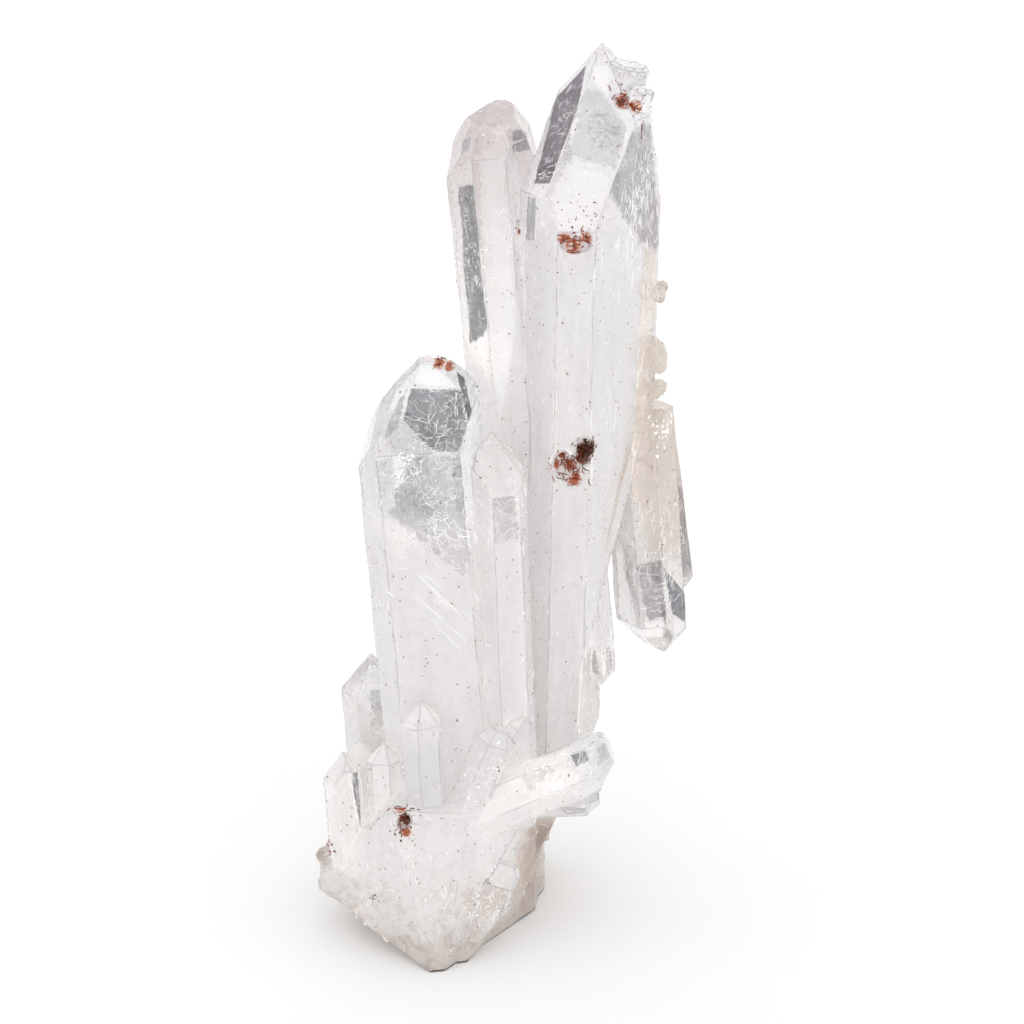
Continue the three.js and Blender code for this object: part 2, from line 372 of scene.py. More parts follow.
def wear_edges(bm):
    """A narrow bevel along every sharp edge. Bevel faces get material 1."""
    sharp = [e for e in bm.edges if e.calc_face_angle(0) > SHARP_EDGE]
    sharp = [e for e in sharp if not within(e, knob_spheres)]
    bmesh.ops.bevel(
        bm,
        geom=sharp,
        offset=EDGE_WEAR,
        offset_type="OFFSET",
        segments=1,
        profile=0.5,
        affect="EDGES",
        clamp_overlap=False,
        material=1,
    )
    bmesh.ops.triangulate(bm, faces=bm.faces)
    holes = [e for e in bm.edges if len(e.link_faces) < 2]
    bmesh.ops.holes_fill(bm, edges=holes, sides=0)
    print("open edges closed:", len(holes))


def split_copy(name, source, worn):
    """The solid's mesh, merged and split, with worn edges if asked."""
    bm = bmesh.new()
    bm.from_mesh(source)
    bmesh.ops.remove_doubles(bm, verts=bm.verts, dist=SAME_POINT)
    bmesh.ops.dissolve_degenerate(bm, edges=bm.edges, dist=SAME_POINT)
    split_long_edges(bm)
    if worn:
        wear_edges(bm)
    mesh = bpy.data.meshes.new(name)
    bm.to_mesh(mesh)
    print(name + ":", len(bm.faces), "faces")
    bm.free()
    return mesh


skin_mesh = split_copy("quartz_skin", solid.data, worn=True)

# %% [markdown]
# Natural faces aren't quite flat. The unevenness is a sum of plane waves with
# different directions, which moves neighbouring points together and so keeps the
# body closed. The foot, where the cluster broke from its bed, and the knobs also
# get dents that meet in ridges, as chipped stone has.

# %% Unevenness
SWELL = 0.07
SWELL_LENGTHS = (6.1, 7.3, 8.9, 10.7, 13.1, 17.0)
RIPPLE = 0.02
RIPPLE_LENGTHS = (2.6, 3.1, 3.7, 4.3)
FOOT_MIDDLE = (5, 22, 12)
FOOT_FADE = 8.0
FOOT_DENTS = 0.4
FOOT_DENT_LENGTHS = (2.9, 3.8, 4.9, 6.3, 8.2)
KNOB_DENTS = 0.5
KNOB_DENT_LENGTHS = (1.9, 2.6, 3.3)
FLAT_FADE = 2.0


def unit(vectors):
    """Each vector scaled to length 1."""
    vectors = np.array(vectors, float)
    return vectors / np.linalg.norm(vectors, axis=-1, keepdims=True)


def waves(points_mm, lengths_mm, seed):
    """Smooth noise of about -1 to 1: the mean of sines of k . p + phase, where k
    has a random direction and a length of 2 pi over each wavelength."""
    rng = np.random.default_rng(seed)
    total = np.zeros(len(points_mm))
    for length in lengths_mm:
        way = rng.normal(size=3)
        way *= 2 * np.pi / length / np.linalg.norm(way)
        total += np.sin(points_mm @ way + rng.uniform(0, 2 * np.pi))
    return total / np.sqrt(len(lengths_mm))


def chipped(points_mm, lengths_mm, seed):
    """Dents that meet in ridges: the mean of 1 - 2 |sin(k . p + phase)|."""
    rng = np.random.default_rng(seed)
    total = np.zeros(len(points_mm))
    for length in lengths_mm:
        way = rng.normal(size=3)
        way *= np.pi / length / np.linalg.norm(way)
        total += 1 - 2 * np.abs(np.sin(points_mm @ way + rng.uniform(0, 2 * np.pi)))
    return total / len(lengths_mm)


def normals_of(mesh):
    """All vertex normals of a mesh."""
    flat = np.empty(len(mesh.vertices) * 3)
    mesh.vertex_normals.foreach_get("vector", flat)
    return flat.reshape(-1, 3)


def make_uneven(mesh):
    """Moves each vertex by swell + ripple in every direction, and in the broken
    foot and the knobs by dents away from their middles. The share fades to nothing
    at the floor, so the cut foot stays flat."""
    points = (vertices_of(mesh) - FRONT_FOOT) / MM
    shift = np.stack(
        [
            SWELL * waves(points, SWELL_LENGTHS, seed)
            + RIPPLE * waves(points, RIPPLE_LENGTHS, seed + 10)
            for seed in (1, 2, 3)
        ],
        axis=1,
    )
    broken = np.clip((FOOT_TOP - points[:, 2:]) / FOOT_FADE, 0, 1)
    dents = chipped(points, FOOT_DENT_LENGTHS, 21)[:, None]
    shift += unit(points - FOOT_MIDDLE) * FOOT_DENTS * broken * dents
    for place in KNOBS:
        away = points - np.array(place)
        near_knob = np.exp(-((np.linalg.norm(away, axis=1) / KNOB_REACH) ** 2))
        dents = chipped(points, KNOB_DENT_LENGTHS, 31) * KNOB_DENTS * near_knob
        shift += unit(away) * dents[:, None]
    shift *= np.clip(points[:, 2:] / FLAT_FADE, 0, 1)
    points += shift
    inside = np.clip(FRONT_FOOT + points * MM, *np.array(cad_box))
    mesh.vertices.foreach_set("co", inside.ravel())
    mesh.update()
    print(mesh.name, "moved by up to", round(float(np.abs(shift).max()), 2), "mm")


make_uneven(skin_mesh)

# %% [markdown]
# Each face of the skin is told which crystal it belongs to. Its corners then keep
# their place in that crystal's own frame, in millimetres across and along the
# axis, and the growth lines of the material run on those numbers. They also keep
# the colour, which passes gently from one crystal to the next and turns browner
# near the floor.

# %% Growth coordinates
HEAD_START = 0.66
TONE_BLEND = 0.06
STAIN = (0.83, 0.785, 0.745)
STAIN_HEIGHT = 11.0


def corner_arrays(mesh):
    """Corner positions in mm from the front foot, and face centres and normals."""
    loops = np.empty(len(mesh.loops), int)
    mesh.loops.foreach_get("vertex_index", loops)
    corners = ((vertices_of(mesh) - FRONT_FOOT) / MM)[loops].reshape(-1, 3, 3)
    first, second, third = corners[:, 0], corners[:, 1], corners[:, 2]
    normals = np.cross(second - first, third - first)
    normals /= np.maximum(np.linalg.norm(normals, axis=1, keepdims=True), 1e-12)
    return corners, corners.mean(1), normals


def shares_of(points):
    """How far each point is from each crystal, a row for each crystal: the larger
    of distance from the axis over its reach, and distance from the middle of the
    axis over half its length. Also the share of the way from foot to head."""
    shares, heights = [], []
    for foot, head, reach, *_ in CRYSTALS.values():
        _, _, along, length = axes_of(foot, head)
        from_foot = points - np.array(foot, float)
        t = from_foot @ along
        radial = np.linalg.norm(from_foot - t[:, None] * along, axis=1)
        outside = np.abs(t - length / 2) / (length / 2)
        shares.append(np.maximum(radial / reach, outside))
        heights.append(t / length)
    return np.array(shares), np.array(heights)


def owner_of(points):
    """The crystal each point belongs to, the one that it is nearest to."""
    return shares_of(points)[0].argmin(0)


def tone_of(points):
    """The tint at each point. Each crystal's own goes from its foot's tint to its
    head's, and where crystals meet they blend by exp(-share / TONE_BLEND)."""
    shares, heights = shares_of(points)
    weights = np.exp((shares.min(0) - shares) / TONE_BLEND)
    weights /= weights.sum(0)
    up = np.clip((heights - HEAD_START) / (1 - HEAD_START), 0, 1)
    foot_tints = np.array([tint for *_, tint, _ in CRYSTALS.values()])
    head_tints = np.array([tint for *_, tint in CRYSTALS.values()])
    return (weights * (1 - up)).T @ foot_tints + (weights * up).T @ head_tints


def write_corners(mesh, name, values, kind="FLOAT_VECTOR"):
    """Stores one vector or colour for each corner of each face."""
    layer = mesh.attributes.new(name, kind, "CORNER")
    key = "color" if kind == "FLOAT_COLOR" else "vector"
    layer.data.foreach_set(key, np.ascontiguousarray(values, np.float32).ravel())


def growth_layers(mesh):
    """Writes the layers growth (mm in the crystal's frame) and tone: the crystals'
    tints, and towards STAIN near the floor."""
    corners, centres, _ = corner_arrays(mesh)
    owner = owner_of(centres)
    growth = np.empty_like(corners)
    for index, (foot, head, *_) in enumerate(CRYSTALS.values()):
        mine = owner == index
        front, right, along, _ = axes_of(foot, head)
        frame_rows = np.stack([right, front, along])
        growth[mine] = (corners[mine] - np.array(foot, float)) @ frame_rows.T
    tone = np.ones((len(corners), 3, 4))
    tone[..., :3] = tone_of(corners.reshape(-1, 3)).reshape(-1, 3, 3)
    stained = np.clip(1 - corners[..., 2:] / STAIN_HEIGHT, 0, 1) ** 2
    tone[..., :3] += (np.array(STAIN) - tone[..., :3]) * stained
    write_corners(mesh, "growth", growth)
    write_corners(mesh, "tone", tone, "FLOAT_COLOR")
    print(mesh.name, "faces of each crystal:", np.bincount(owner, minlength=len(CRYSTALS)))


growth_layers(skin_mesh)

# %% [markdown]
# Some faces get dark, window-like panes painted into their colour: a painted
# reflection of something dark, which clear quartz would mirror. A few get painted
# highlights, whiter than their neighbours. A pane is outlined by pixels of the
# photograph, which is 1024 across: the first pixel lies on the pane's face, and
# the others are its corners, up to five. Rays from the camera carry them onto the
# imported solid once, and from then on the pane is fixed to the stone. Its other
# values are the painted tint inside it, its depth, from 1, deepest painted
# reflection, to -1, whitest painted highlight, and how soft its border is. Each
# corner of the skin's faces in a pane keeps its distance from each side of the
# outline, divided by the softness.

# %% Painted panes
# Dark tints of the painted reflections in the panes.
PLUM = (0.055, 0.045, 0.055)
STEEL = (0.05, 0.055, 0.065)
MOSS = (0.07, 0.075, 0.07)
DUSK = (0.085, 0.07, 0.085)

# Tint of the painted reflection inside (a depth below 0 makes a painted highlight
# instead), depth, softness, a pixel on the face, and the outline's pixels.
PAINTED_PANES = {
    "tall_strip": (PLUM, 1.0, 1, (557, 140), (
        (587, 64), (571, 138), (553, 184), (534, 184), (556, 98),
    )),
    "tall_lilac": (DUSK, 0.38, 3, (590, 130), (
        (582, 88), (601, 91), (628, 126), (616, 170), (569, 156),
    )),
    "tall_white": (STEEL, -1.0, 1, (590, 130), ((593, 65), (610, 65), (609, 97), (594, 82))),
    "tall_white_low": (STEEL, -0.7, 3, (578, 172), (
        (567, 160), (612, 174), (600, 232), (560, 232), (549, 198),
    )),
    "tall_fibres": (DUSK, 0.8, 8, (643, 200), (
        (628, 130), (652, 122), (660, 250), (640, 245), (606, 190),
    )),
    "tall_edge": (STEEL, 0.75, 1, (532, 215), ((528, 196), (537, 198), (534, 240), (526, 240))),
    "left_white": (STEEL, -0.75, 2, (484, 285), (
        (477, 140), (501, 122), (517, 330), (500, 425), (487, 330),
    )),
    "left_strip": (MOSS, 1.0, 3, (471, 240), ((458, 186), (479, 183), (487, 332), (470, 345))),
    "left_patch": (STEEL, 0.85, 1, (522, 145), ((511, 137), (532, 135), (533, 149), (512, 153))),
    "left_patch_small": (STEEL, 0.6, 1, (463, 150), ((457, 143), (471, 136), (469, 150), (457, 158))),
    "broad_cap": (STEEL, 0.9, 1, (433, 413), (
        (411, 388), (461, 390), (471, 452), (434, 452), (403, 420),
    )),
    "broad_black": (STEEL, 1.0, 1, (460, 385), ((456, 371), (464, 377), (478, 436), (470, 436))),
    "broad_white": (STEEL, -1.0, 1, (430, 365), ((420, 364), (435, 364), (459, 388), (413, 383))),
    "broad_left": (STEEL, 0.62, 2, (397, 415), (
        (407, 390), (398, 428), (384, 440), (388, 422), (399, 400),
    )),
    "broad_veil": (STEEL, 0.55, 6, (439, 530), ((406, 455), (472, 455), (468, 578), (388, 516))),
    "narrow_window": (STEEL, 0.45, 4, (502, 505), ((489, 470), (512, 465), (520, 540), (492, 545))),
    "hanging": (DUSK, 0.8, 2, (650, 600), ((635, 566), (660, 560), (666, 616), (648, 622))),
    "hanging_edge": (STEEL, 1.0, 1, (675, 600), ((664, 568), (686, 594), (684, 622), (672, 614))),
    "hanging_beige": (STEEL, 0.35, 2, (630, 585), ((624, 560), (632, 560), (644, 597), (632, 611))),
    "hanging_purple": (DUSK, 0.75, 4, (685, 540), ((674, 470), (686, 500), (694, 575), (680, 580))),
    "least": (STEEL, 0.85, 1, (601, 658), ((590, 650), (596, 650), (600, 676), (592, 672))),
    "least_right": (STEEL, 0.7, 1, (610, 655), ((605, 648), (611, 650), (612, 668), (606, 674))),
    "crossing": (STEEL, 0.9, 1, (581, 754), ((569, 750), (590, 743), (594, 758), (576, 767))),
    "crossing_end": (STEEL, 0.4, 1, (602, 752), ((597, 744), (610, 743), (611, 770), (597, 772))),
    "crossing_below": (STEEL, 0.8, 1, (585, 809), ((560, 806), (591, 799), (592, 812), (566, 815))),
    "crossing_below_end": (STEEL, 0.6, 1, (592, 797), ((586, 794), (597, 790), (600, 800), (589, 803))),
    "crossing_swirl": (STEEL, 0.45, 4, (530, 778), ((515, 770), (540, 758), (556, 770), (530, 792))),
    "back_left": (STEEL, 0.6, 4, (377, 690), ((368, 650), (385, 665), (387, 735), (372, 735))),
    "left_slit": (STEEL, 1.0, 1, (354, 778), ((348, 774), (358, 771), (361, 833))),
    "root": (STEEL, 0.6, 5, (586, 705), ((570, 650), (596, 650), (600, 730), (580, 735))),
    "root_low": (STEEL, 0.45, 6, (532, 885), ((515, 845), (545, 830), (542, 880), (520, 890))),
    "left_patch_top": (STEEL, 0.8, 1, (522, 134), ((513, 129), (530, 130), (533, 140), (512, 141))),
    "left_top": (PLUM, 0.2, 4, (495, 112), ((476, 100), (514, 100), (522, 124), (470, 126))),
    "front_foot": (STEEL, 0.35, 5, (485, 905), ((460, 890), (500, 870), (512, 905), (470, 930))),
}
print(len(PAINTED_PANES), "panes")

# %% [markdown]
# The pixels become places on the stone by plain geometry: a ray leaves the camera
# through each pixel and is cut by the plane of the face that the first pixel hits.

# %% Panes on the stone
PHOTO_SIDE = 1024
MOST_SIDES = 5
PANE_MARGIN = 1.5
SOFT_MARGIN = 0.35
FACING_SAME = 0.93
PANE_REACH = 2.0
FAR_OUT = 9.0


def tree_of(mesh):
    """A search tree of a mesh of triangles."""
    rows = np.empty(len(mesh.loops), int)
    mesh.loops.foreach_get("vertex_index", rows)
    return BVHTree.FromPolygons(vertices_of(mesh).tolist(), rows.reshape(-1, 3).tolist())


def ray_through(pixel):
    """The camera's ray through a pixel x, y: (x / side - 1/2) sensor / lens to the
    right, (1/2 - y / side) sensor / lens up and 1 forwards, turned as the camera."""
    wide = camera.data.sensor_width / camera.data.lens
    across, down = (np.array(pixel) / PHOTO_SIDE - 0.5) * wide
    return (camera.rotation_euler.to_matrix() @ Vector((across, -down, -1))).normalized()


def outline_planes(seed, outline):
    """The normal of the face at the seed, and for five sides of the outline a
    corner and the direction out: the cross product of the side and the normal,
    turned away from the middle. Missing sides repeat the last. A corner lies where
    its ray meets the face's plane, at eye + ray (place - eye) . n / (ray . n)."""
    eye = np.array(camera.location)
    place, facing, _, _ = solid_tree.ray_cast(camera.location, ray_through(seed))
    rays = np.array([ray_through(pixel) for pixel in outline])
    far = (np.array(place) - eye) @ facing / (rays @ facing)
    corners = (eye + rays * far[:, None] - FRONT_FOOT) / MM
    out = unit(np.cross(np.roll(corners, -1, axis=0) - corners, facing))
    out *= np.sign(((corners - corners.mean(0)) * out).sum(1))[:, None]
    sides = np.minimum(np.arange(MOST_SIDES), len(corners) - 1)
    return np.array(facing), corners[sides], out[sides]


def pane_layers(mesh):
    """Writes the layers sides_a (distances outside sides 1 to 3), sides_b
    (distances outside sides 4 and 5, and the depth) and painted_pane_tint, the tint
    of the painted reflection. A face belongs to the nearest pane that lies in its
    plane and within the margin."""
    corners, centres, normals = corner_arrays(mesh)
    sides = np.full((len(corners), 3, MOST_SIDES + 1), FAR_OUT)
    tone = np.ones((len(corners), 3, 4))
    nearest = np.full(len(corners), FAR_OUT)
    for tint, depth, soft, seed, outline in PAINTED_PANES.values():
        facing, starts, out = outline_planes(seed, outline)
        outside = ((centres[:, None] - starts) * out).sum(-1).max(1)
        margin = max(PANE_MARGIN, SOFT_MARGIN * soft)
        inside = (normals @ facing > FACING_SAME) & (outside < np.minimum(nearest, margin))
        inside &= np.abs((centres - starts[0]) @ facing) < PANE_REACH
        nearest[inside] = outside[inside]
        distances = ((corners[inside][:, :, None] - starts) * out).sum(-1)
        sides[inside, :, :-1] = distances / soft
        sides[inside, :, -1] = depth
        tone[inside, :, :3] = tint
    write_corners(mesh, "sides_a", sides[..., :3])
    write_corners(mesh, "sides_b", sides[..., 3:])
    write_corners(mesh, "painted_pane_tint", tone, "FLOAT_COLOR")
    print(mesh.name, "faces in panes:", int((nearest < FAR_OUT).sum()))


solid_tree = tree_of(solid.data)
pane_layers(skin_mesh)

# %% [markdown]
# Three effects are used by more than one material, so each is a node group: the
# fine growth lines across a crystal, the painted panes, and the rust in the etched pits.
# The helpers below make an empty group, place one in a material, and give the few
# values that all the effects start from.

# %% Group helpers
def new_group(name, inputs, outputs):
    """An empty shader node group with the given sockets. Returns the tree and
    its input and output nodes."""
    tree = bpy.data.node_groups.new(name, "ShaderNodeTree")
    for label, kind, value in inputs:
        socket = tree.interface.new_socket(label, in_out="INPUT", socket_type=kind)
        if value is not None:
            socket.default_value = value
    for label, kind in outputs:
        tree.interface.new_socket(label, in_out="OUTPUT", socket_type=kind)
    return tree, tree.nodes.new("NodeGroupInput"), tree.nodes.new("NodeGroupOutput")


def noise(tree, vector, scale, detail=2.0, roughness=0.5, distortion=0.0):
    """One Noise texture's value."""
    node = node_of(
        tree,
        "ShaderNodeTexNoise",
        Scale=scale,
        Detail=detail,
        Roughness=roughness,
        Distortion=distortion,
    )
    tree.links.new(vector, node.inputs["Vector"])
    return node.outputs[0]


def stretched(tree, vector, scale):
    """The vector with each part multiplied by its own scale."""
    node = tree.nodes.new("ShaderNodeVectorMath")
    node.operation = "MULTIPLY"
    tree.links.new(vector, node.inputs[0])
    node.inputs[1].default_value = scale
    return node.outputs[0]


def place_group(tree, group, **sources):
    """A group node with its inputs linked. Returns its outputs."""
    node = tree.nodes.new("ShaderNodeGroup")
    node.node_tree = group
    for name, source in sources.items():
        tree.links.new(source, node.inputs[name.replace("_", " ")])
    return node.outputs


def in_millimetres(tree):
    """The point on the piece, in mm."""
    place = tree.nodes.new("ShaderNodeTexCoord")
    return stretched(tree, place.outputs["Object"], (1000, 1000, 1000))


def layer_of(tree, name, output="Vector"):
    """A mesh layer's value at the point."""
    node = tree.nodes.new("ShaderNodeAttribute")
    node.attribute_name = name
    return node.outputs[output]


def off_middle(tree, value):
    """How far a noise value is from its middle: |value - 0.5|. Small values lie
    along winding lines."""
    return maths(tree, "ABSOLUTE", maths(tree, "SUBTRACT", value, 0.5))


def swing(tree, value, width):
    """A noise value spread to -width / 2 to width / 2: value x width - width / 2."""
    return maths(tree, "MULTIPLY_ADD", value, width, -width / 2)


print("group helpers ready")

# %% [markdown]
# Growth lines are noise drawn out across the crystal. The mask of a painted pane,
# painted reflection or painted highlight, is worked out from the distances that
# the mesh keeps.

# %% Growth lines and painted pane mask
# Noise cells per mm across and along the crystal.
FINE_LINES = (0.12, 0.12, 2.6)
BROAD_LINES = (0.05, 0.05, 0.7)
BROAD_SHARE = 1.6
PANE_RAGGED = 0.5
PANE_BORDER = (-0.12, 0.06)


def build_growth_lines():
    """Fine steps across the axis: noise that is long across the crystal and
    short along it. Vector is in mm in the crystal's frame."""
    tree, given, made = new_group(
        "growth_lines", [("Vector", "NodeSocketVector", None)], [("Height", "NodeSocketFloat")]
    )
    fine = noise(tree, stretched(tree, given.outputs["Vector"], FINE_LINES), scale=1.0, detail=3.0)
    broad = noise(tree, stretched(tree, given.outputs["Vector"], BROAD_LINES), scale=1.0, detail=2.0)
    height = maths(tree, "ADD", fine, maths(tree, "MULTIPLY", broad, BROAD_SHARE))
    tree.links.new(height, made.inputs["Height"])
    return tree


def build_pane_mask():
    """How far inside a dark pane, a painted reflection, or a white pane, a painted
    highlight, the point is. The largest of the five distances, made ragged by noise,
    is negative inside the outline."""
    tree, given, made = new_group(
        "pane_mask",
        [(name, "NodeSocketVector", None) for name in ("Vector", "Sides A", "Sides B")],
        [("Dark", "NodeSocketFloat"), ("White", "NodeSocketFloat")],
    )
    first = tree.nodes.new("ShaderNodeSeparateXYZ")
    second = tree.nodes.new("ShaderNodeSeparateXYZ")
    tree.links.new(given.outputs["Sides A"], first.inputs[0])
    tree.links.new(given.outputs["Sides B"], second.inputs[0])
    outside = maths(tree, "MAXIMUM", first.outputs["X"], first.outputs["Y"])
    for distance in (first.outputs["Z"], second.outputs["X"], second.outputs["Y"]):
        outside = maths(tree, "MAXIMUM", outside, distance)
    ragged = swing(tree, noise(tree, given.outputs["Vector"], scale=1.1, detail=2.0), PANE_RAGGED)
    outside = maths(tree, "ADD", outside, ragged)
    inside = ramp(tree, outside, *PANE_BORDER, 1.0, 0.0)
    dark = maths(tree, "MULTIPLY", inside, second.outputs["Z"], clamp=True)
    whiteness = maths(tree, "MULTIPLY", second.outputs["Z"], -1.0)
    white = maths(tree, "MULTIPLY", inside, whiteness, clamp=True)
    tree.links.new(dark, made.inputs["Dark"])
    tree.links.new(white, made.inputs["White"])
    return tree


def pane_masks(tree):
    """The outputs Dark, the painted reflection, and White, the painted highlight,
    of the pane group, fed with the mesh's layers.
    """
    return place_group(
        tree,
        PANE_MASK,
        Vector=in_millimetres(tree),
        Sides_A=layer_of(tree, "sides_a"),
        Sides_B=layer_of(tree, "sides_b"),
    )


GROWTH_LINES = build_growth_lines()
PANE_MASK = build_pane_mask()
print("node groups:", GROWTH_LINES.name, PANE_MASK.name)

# %% [markdown]
# Iron soaked into the etched pits and left rust there: pale at the rim, red-brown
# further in and nearly black in the deepest pits. The mask measures the distance
# to each pit's middle and breaks it up with noise.

# %% Rust mask
# A middle, how far the rust reaches, and how dark it is.
RUST_SPOTS = {
    "belly_core": ((25.1, 23.0, 81.9), 2.0, 1.7),
    "belly_core_low": ((24.7, 22.9, 80.4), 1.7, 1.3),
    "belly_left": ((21.3, 22.8, 81.0), 0.9, 0.9),
    "belly_far_left": ((20.1, 22.6, 79.4), 1.3, 0.5),
    "belly_middle": ((22.6, 22.9, 79.2), 1.3, 0.3),
    "belly_low": ((23.3, 21.8, 77.1), 1.4, 0.5),
    "under_cap_left": ((21.4, 21.7, 116.7), 1.3, 0.7),
    "under_cap": ((22.9, 22.4, 115.3), 1.7, 0.7),
    "under_cap_right": ((24.7, 21.8, 116.7), 1.3, 0.7),
    "shoulder": ((30.6, 37.0, 134.9), 1.6, 0.9),
    "shoulder_right": ((32.7, 36.3, 134.2), 1.5, 0.6),
    "foot_star": ((-4.0, 5.5, 25.0), 1.7, 1.2),
    "foot_star_up": ((-4.6, 5.0, 27.0), 1.0, 0.2),
    "foot_star_low": ((-3.6, 4.3, 23.2), 1.0, 0.1),
    "broad_tip": ((1.9, 20.0, 97.0), 1.3, 0.5),
    "broad_tip_right": ((3.4, 19.7, 96.6), 1.2, 0.5),
    "tall_left_edge": ((14.3, 28.7, 116.0), 0.7, 0.9),
}
RUST_RAGGED = 2.4
DARK_RAGGED = 1.6
MOST_STAIN = 0.7

# Where each smooth step of the mask starts and ends.
BLOT_BORDER = (0.42, 0.5)
BLOT_FADE = (0.0, 0.12)
STRING_WIDTH = (0.02, 0.045)
STRING_FADE = (0.12, 0.3)
STAIN_FADE = (0.0, 0.35)
DARK_BORDER = (0.25, 0.6)


def build_rust_mask():
    """How rusty, how dark and how stained the point is, 0 to 1 each. Nearness is
    the largest of 1 - distance / reach over all spots. Near a spot's middle noise
    leaves blots, and around it winding strings where a second noise passes its
    middle. A pale stain covers the whole spot."""
    tree, given, made = new_group(
        "rust_mask",
        [("Vector", "NodeSocketVector", None)],
        [(name, "NodeSocketFloat") for name in ("Rust", "Dark", "Stain")],
    )
    point = given.outputs["Vector"]
    nearness, darkness = 0.0, 0.0
    for middle, reach, dark in RUST_SPOTS.values():
        away = node_of(tree, "ShaderNodeVectorMath", operation="DISTANCE")
        tree.links.new(point, away.inputs[0])
        away.inputs[1].default_value = placed(middle) / MM
        close = maths(tree, "MULTIPLY_ADD", away.outputs["Value"], -1 / reach, 1.0)
        nearness = maths(tree, "MAXIMUM", close, nearness)
        darkness = maths(tree, "MAXIMUM", maths(tree, "ADD", close, dark - 1.0), darkness)
    ragged = swing(tree, noise(tree, point, scale=1.3, detail=3.0, roughness=0.6), RUST_RAGGED)
    blots = ramp(tree, maths(tree, "ADD", nearness, ragged), *BLOT_BORDER)
    winding = off_middle(tree, noise(tree, point, scale=0.9, detail=3.0, roughness=0.65, distortion=1.8))
    around = ramp(tree, nearness, *STRING_FADE)
    strings = maths(tree, "MULTIPLY", ramp(tree, winding, *STRING_WIDTH, 1, 0), around)
    blots = maths(tree, "MULTIPLY", blots, ramp(tree, nearness, *BLOT_FADE))
    rust = maths(tree, "MAXIMUM", strings, blots)
    tree.links.new(rust, made.inputs["Rust"])
    tree.links.new(ramp(tree, nearness, *STAIN_FADE, 0.0, MOST_STAIN), made.inputs["Stain"])
    blotches = swing(tree, noise(tree, point, scale=2.3, detail=2.0), DARK_RAGGED)
    dark = ramp(tree, maths(tree, "ADD", darkness, blotches), *DARK_BORDER)
    tree.links.new(dark, made.inputs["Dark"])
    return tree


RUST_MASK = build_rust_mask()
print("node group:", RUST_MASK.name, "with", len(RUST_SPOTS), "spots")

# %% [markdown]
# The skin's material is glass with quartz's own refractive index, 1.544. What
# varies over it is small: the growth lines across each crystal, tiny etch pits,
# the tone of each crystal, the painted reflections of the dark panes with their
# paler mottle and curved scratches, and the rust. The worn edges are the same
# glass, frosted, with painted shade along some stretches.

# %% Skin materials
QUARTZ_IOR = 1.544
# Paler mottle of the painted reflection in the dark panes.
PAINTED_REFLECTION_PALE = (0.5, 0.51, 0.54, 1)
RED_BROWN = (0.34, 0.034, 0.006, 1)
BLACK_BROWN = (0.04, 0.004, 0.001, 1)
PALE_RUST = (0.82, 0.6, 0.48, 1)
# Painted shade on stretches of the worn edges, for grey outlines.
PAINTED_EDGE_SHADE = (0.6, 0.59, 0.6, 1)
SKIN_CLEARNESS = 0.9
EDGE_CLEARNESS = 0.7
EDGE_FROST = 0.45
LEAST_FROST, MOST_FROST = 0.03, 0.3
PIT_SHARE = 0.8
RELIEF = 0.35
RELIEF_DEPTH = 0.1 * MM
REFLECTION_MOTTLE_STRETCH = (0.9, 0.9, 0.4)

# Where each smooth step of the noise starts and ends.
REFLECTION_MOTTLE_BORDER = (0.52, 0.8)
SCRATCH_WIDTH = (0.004, 0.016)
SCRATCH_PATCHES = (0.45, 0.6)
FROST_PATCHES = (0.45, 0.75)
# Where the painted shade along the edges starts and ends.
PAINTED_SHADE_STRETCHES = (0.46, 0.54)


def new_material(name):
    """A material with only a Principled shader. Returns it, its tree and shader."""
    material = bpy.data.materials.new(name)
    material.use_nodes = True
    tree = material.node_tree
    return material, tree, tree.nodes["Principled BSDF"]


def painted_reflection_colour(tree, tone):
    """The tone, and inside a dark pane a painted reflection: the pane's dark tint
    with a paler painted mottle that is drawn out along the crystal, and with thin curved scratches."""
    drawn_out = stretched(tree, layer_of(tree, "growth"), REFLECTION_MOTTLE_STRETCH)
    # Painted reflection: a paler mottle in the dark pane's painted tint.
    clouds = noise(tree, drawn_out, scale=1.0, detail=3.0, roughness=0.65, distortion=0.5)
    clouds = ramp(tree, clouds, *REFLECTION_MOTTLE_BORDER)
    tint = mixed(tree, clouds, layer_of(tree, "painted_pane_tint", "Color"), PAINTED_REFLECTION_PALE)
    point = in_millimetres(tree)
    winding = noise(tree, point, scale=0.55, detail=3.0, roughness=0.6, distortion=1.4)
    scratch = ramp(tree, off_middle(tree, winding), *SCRATCH_WIDTH, 1.0, 0.0)
    in_patches = ramp(tree, noise(tree, point, scale=0.2), *SCRATCH_PATCHES)
    scratch = maths(tree, "MULTIPLY", scratch, in_patches)
    tint = mixed(tree, scratch, tint, tone)
    return mixed(tree, pane_masks(tree)["Dark"], tone, tint)


def rusted(tree, clean):
    """The clean colour, and in the rust spots pale rust, red-brown and nearly
    black."""
    spots = place_group(tree, RUST_MASK, Vector=in_millimetres(tree))
    clean = mixed(tree, spots["Stain"], clean, PALE_RUST)
    tint = mixed(tree, spots["Dark"], RED_BROWN, BLACK_BROWN)
    return mixed(tree, spots["Rust"], clean, tint)


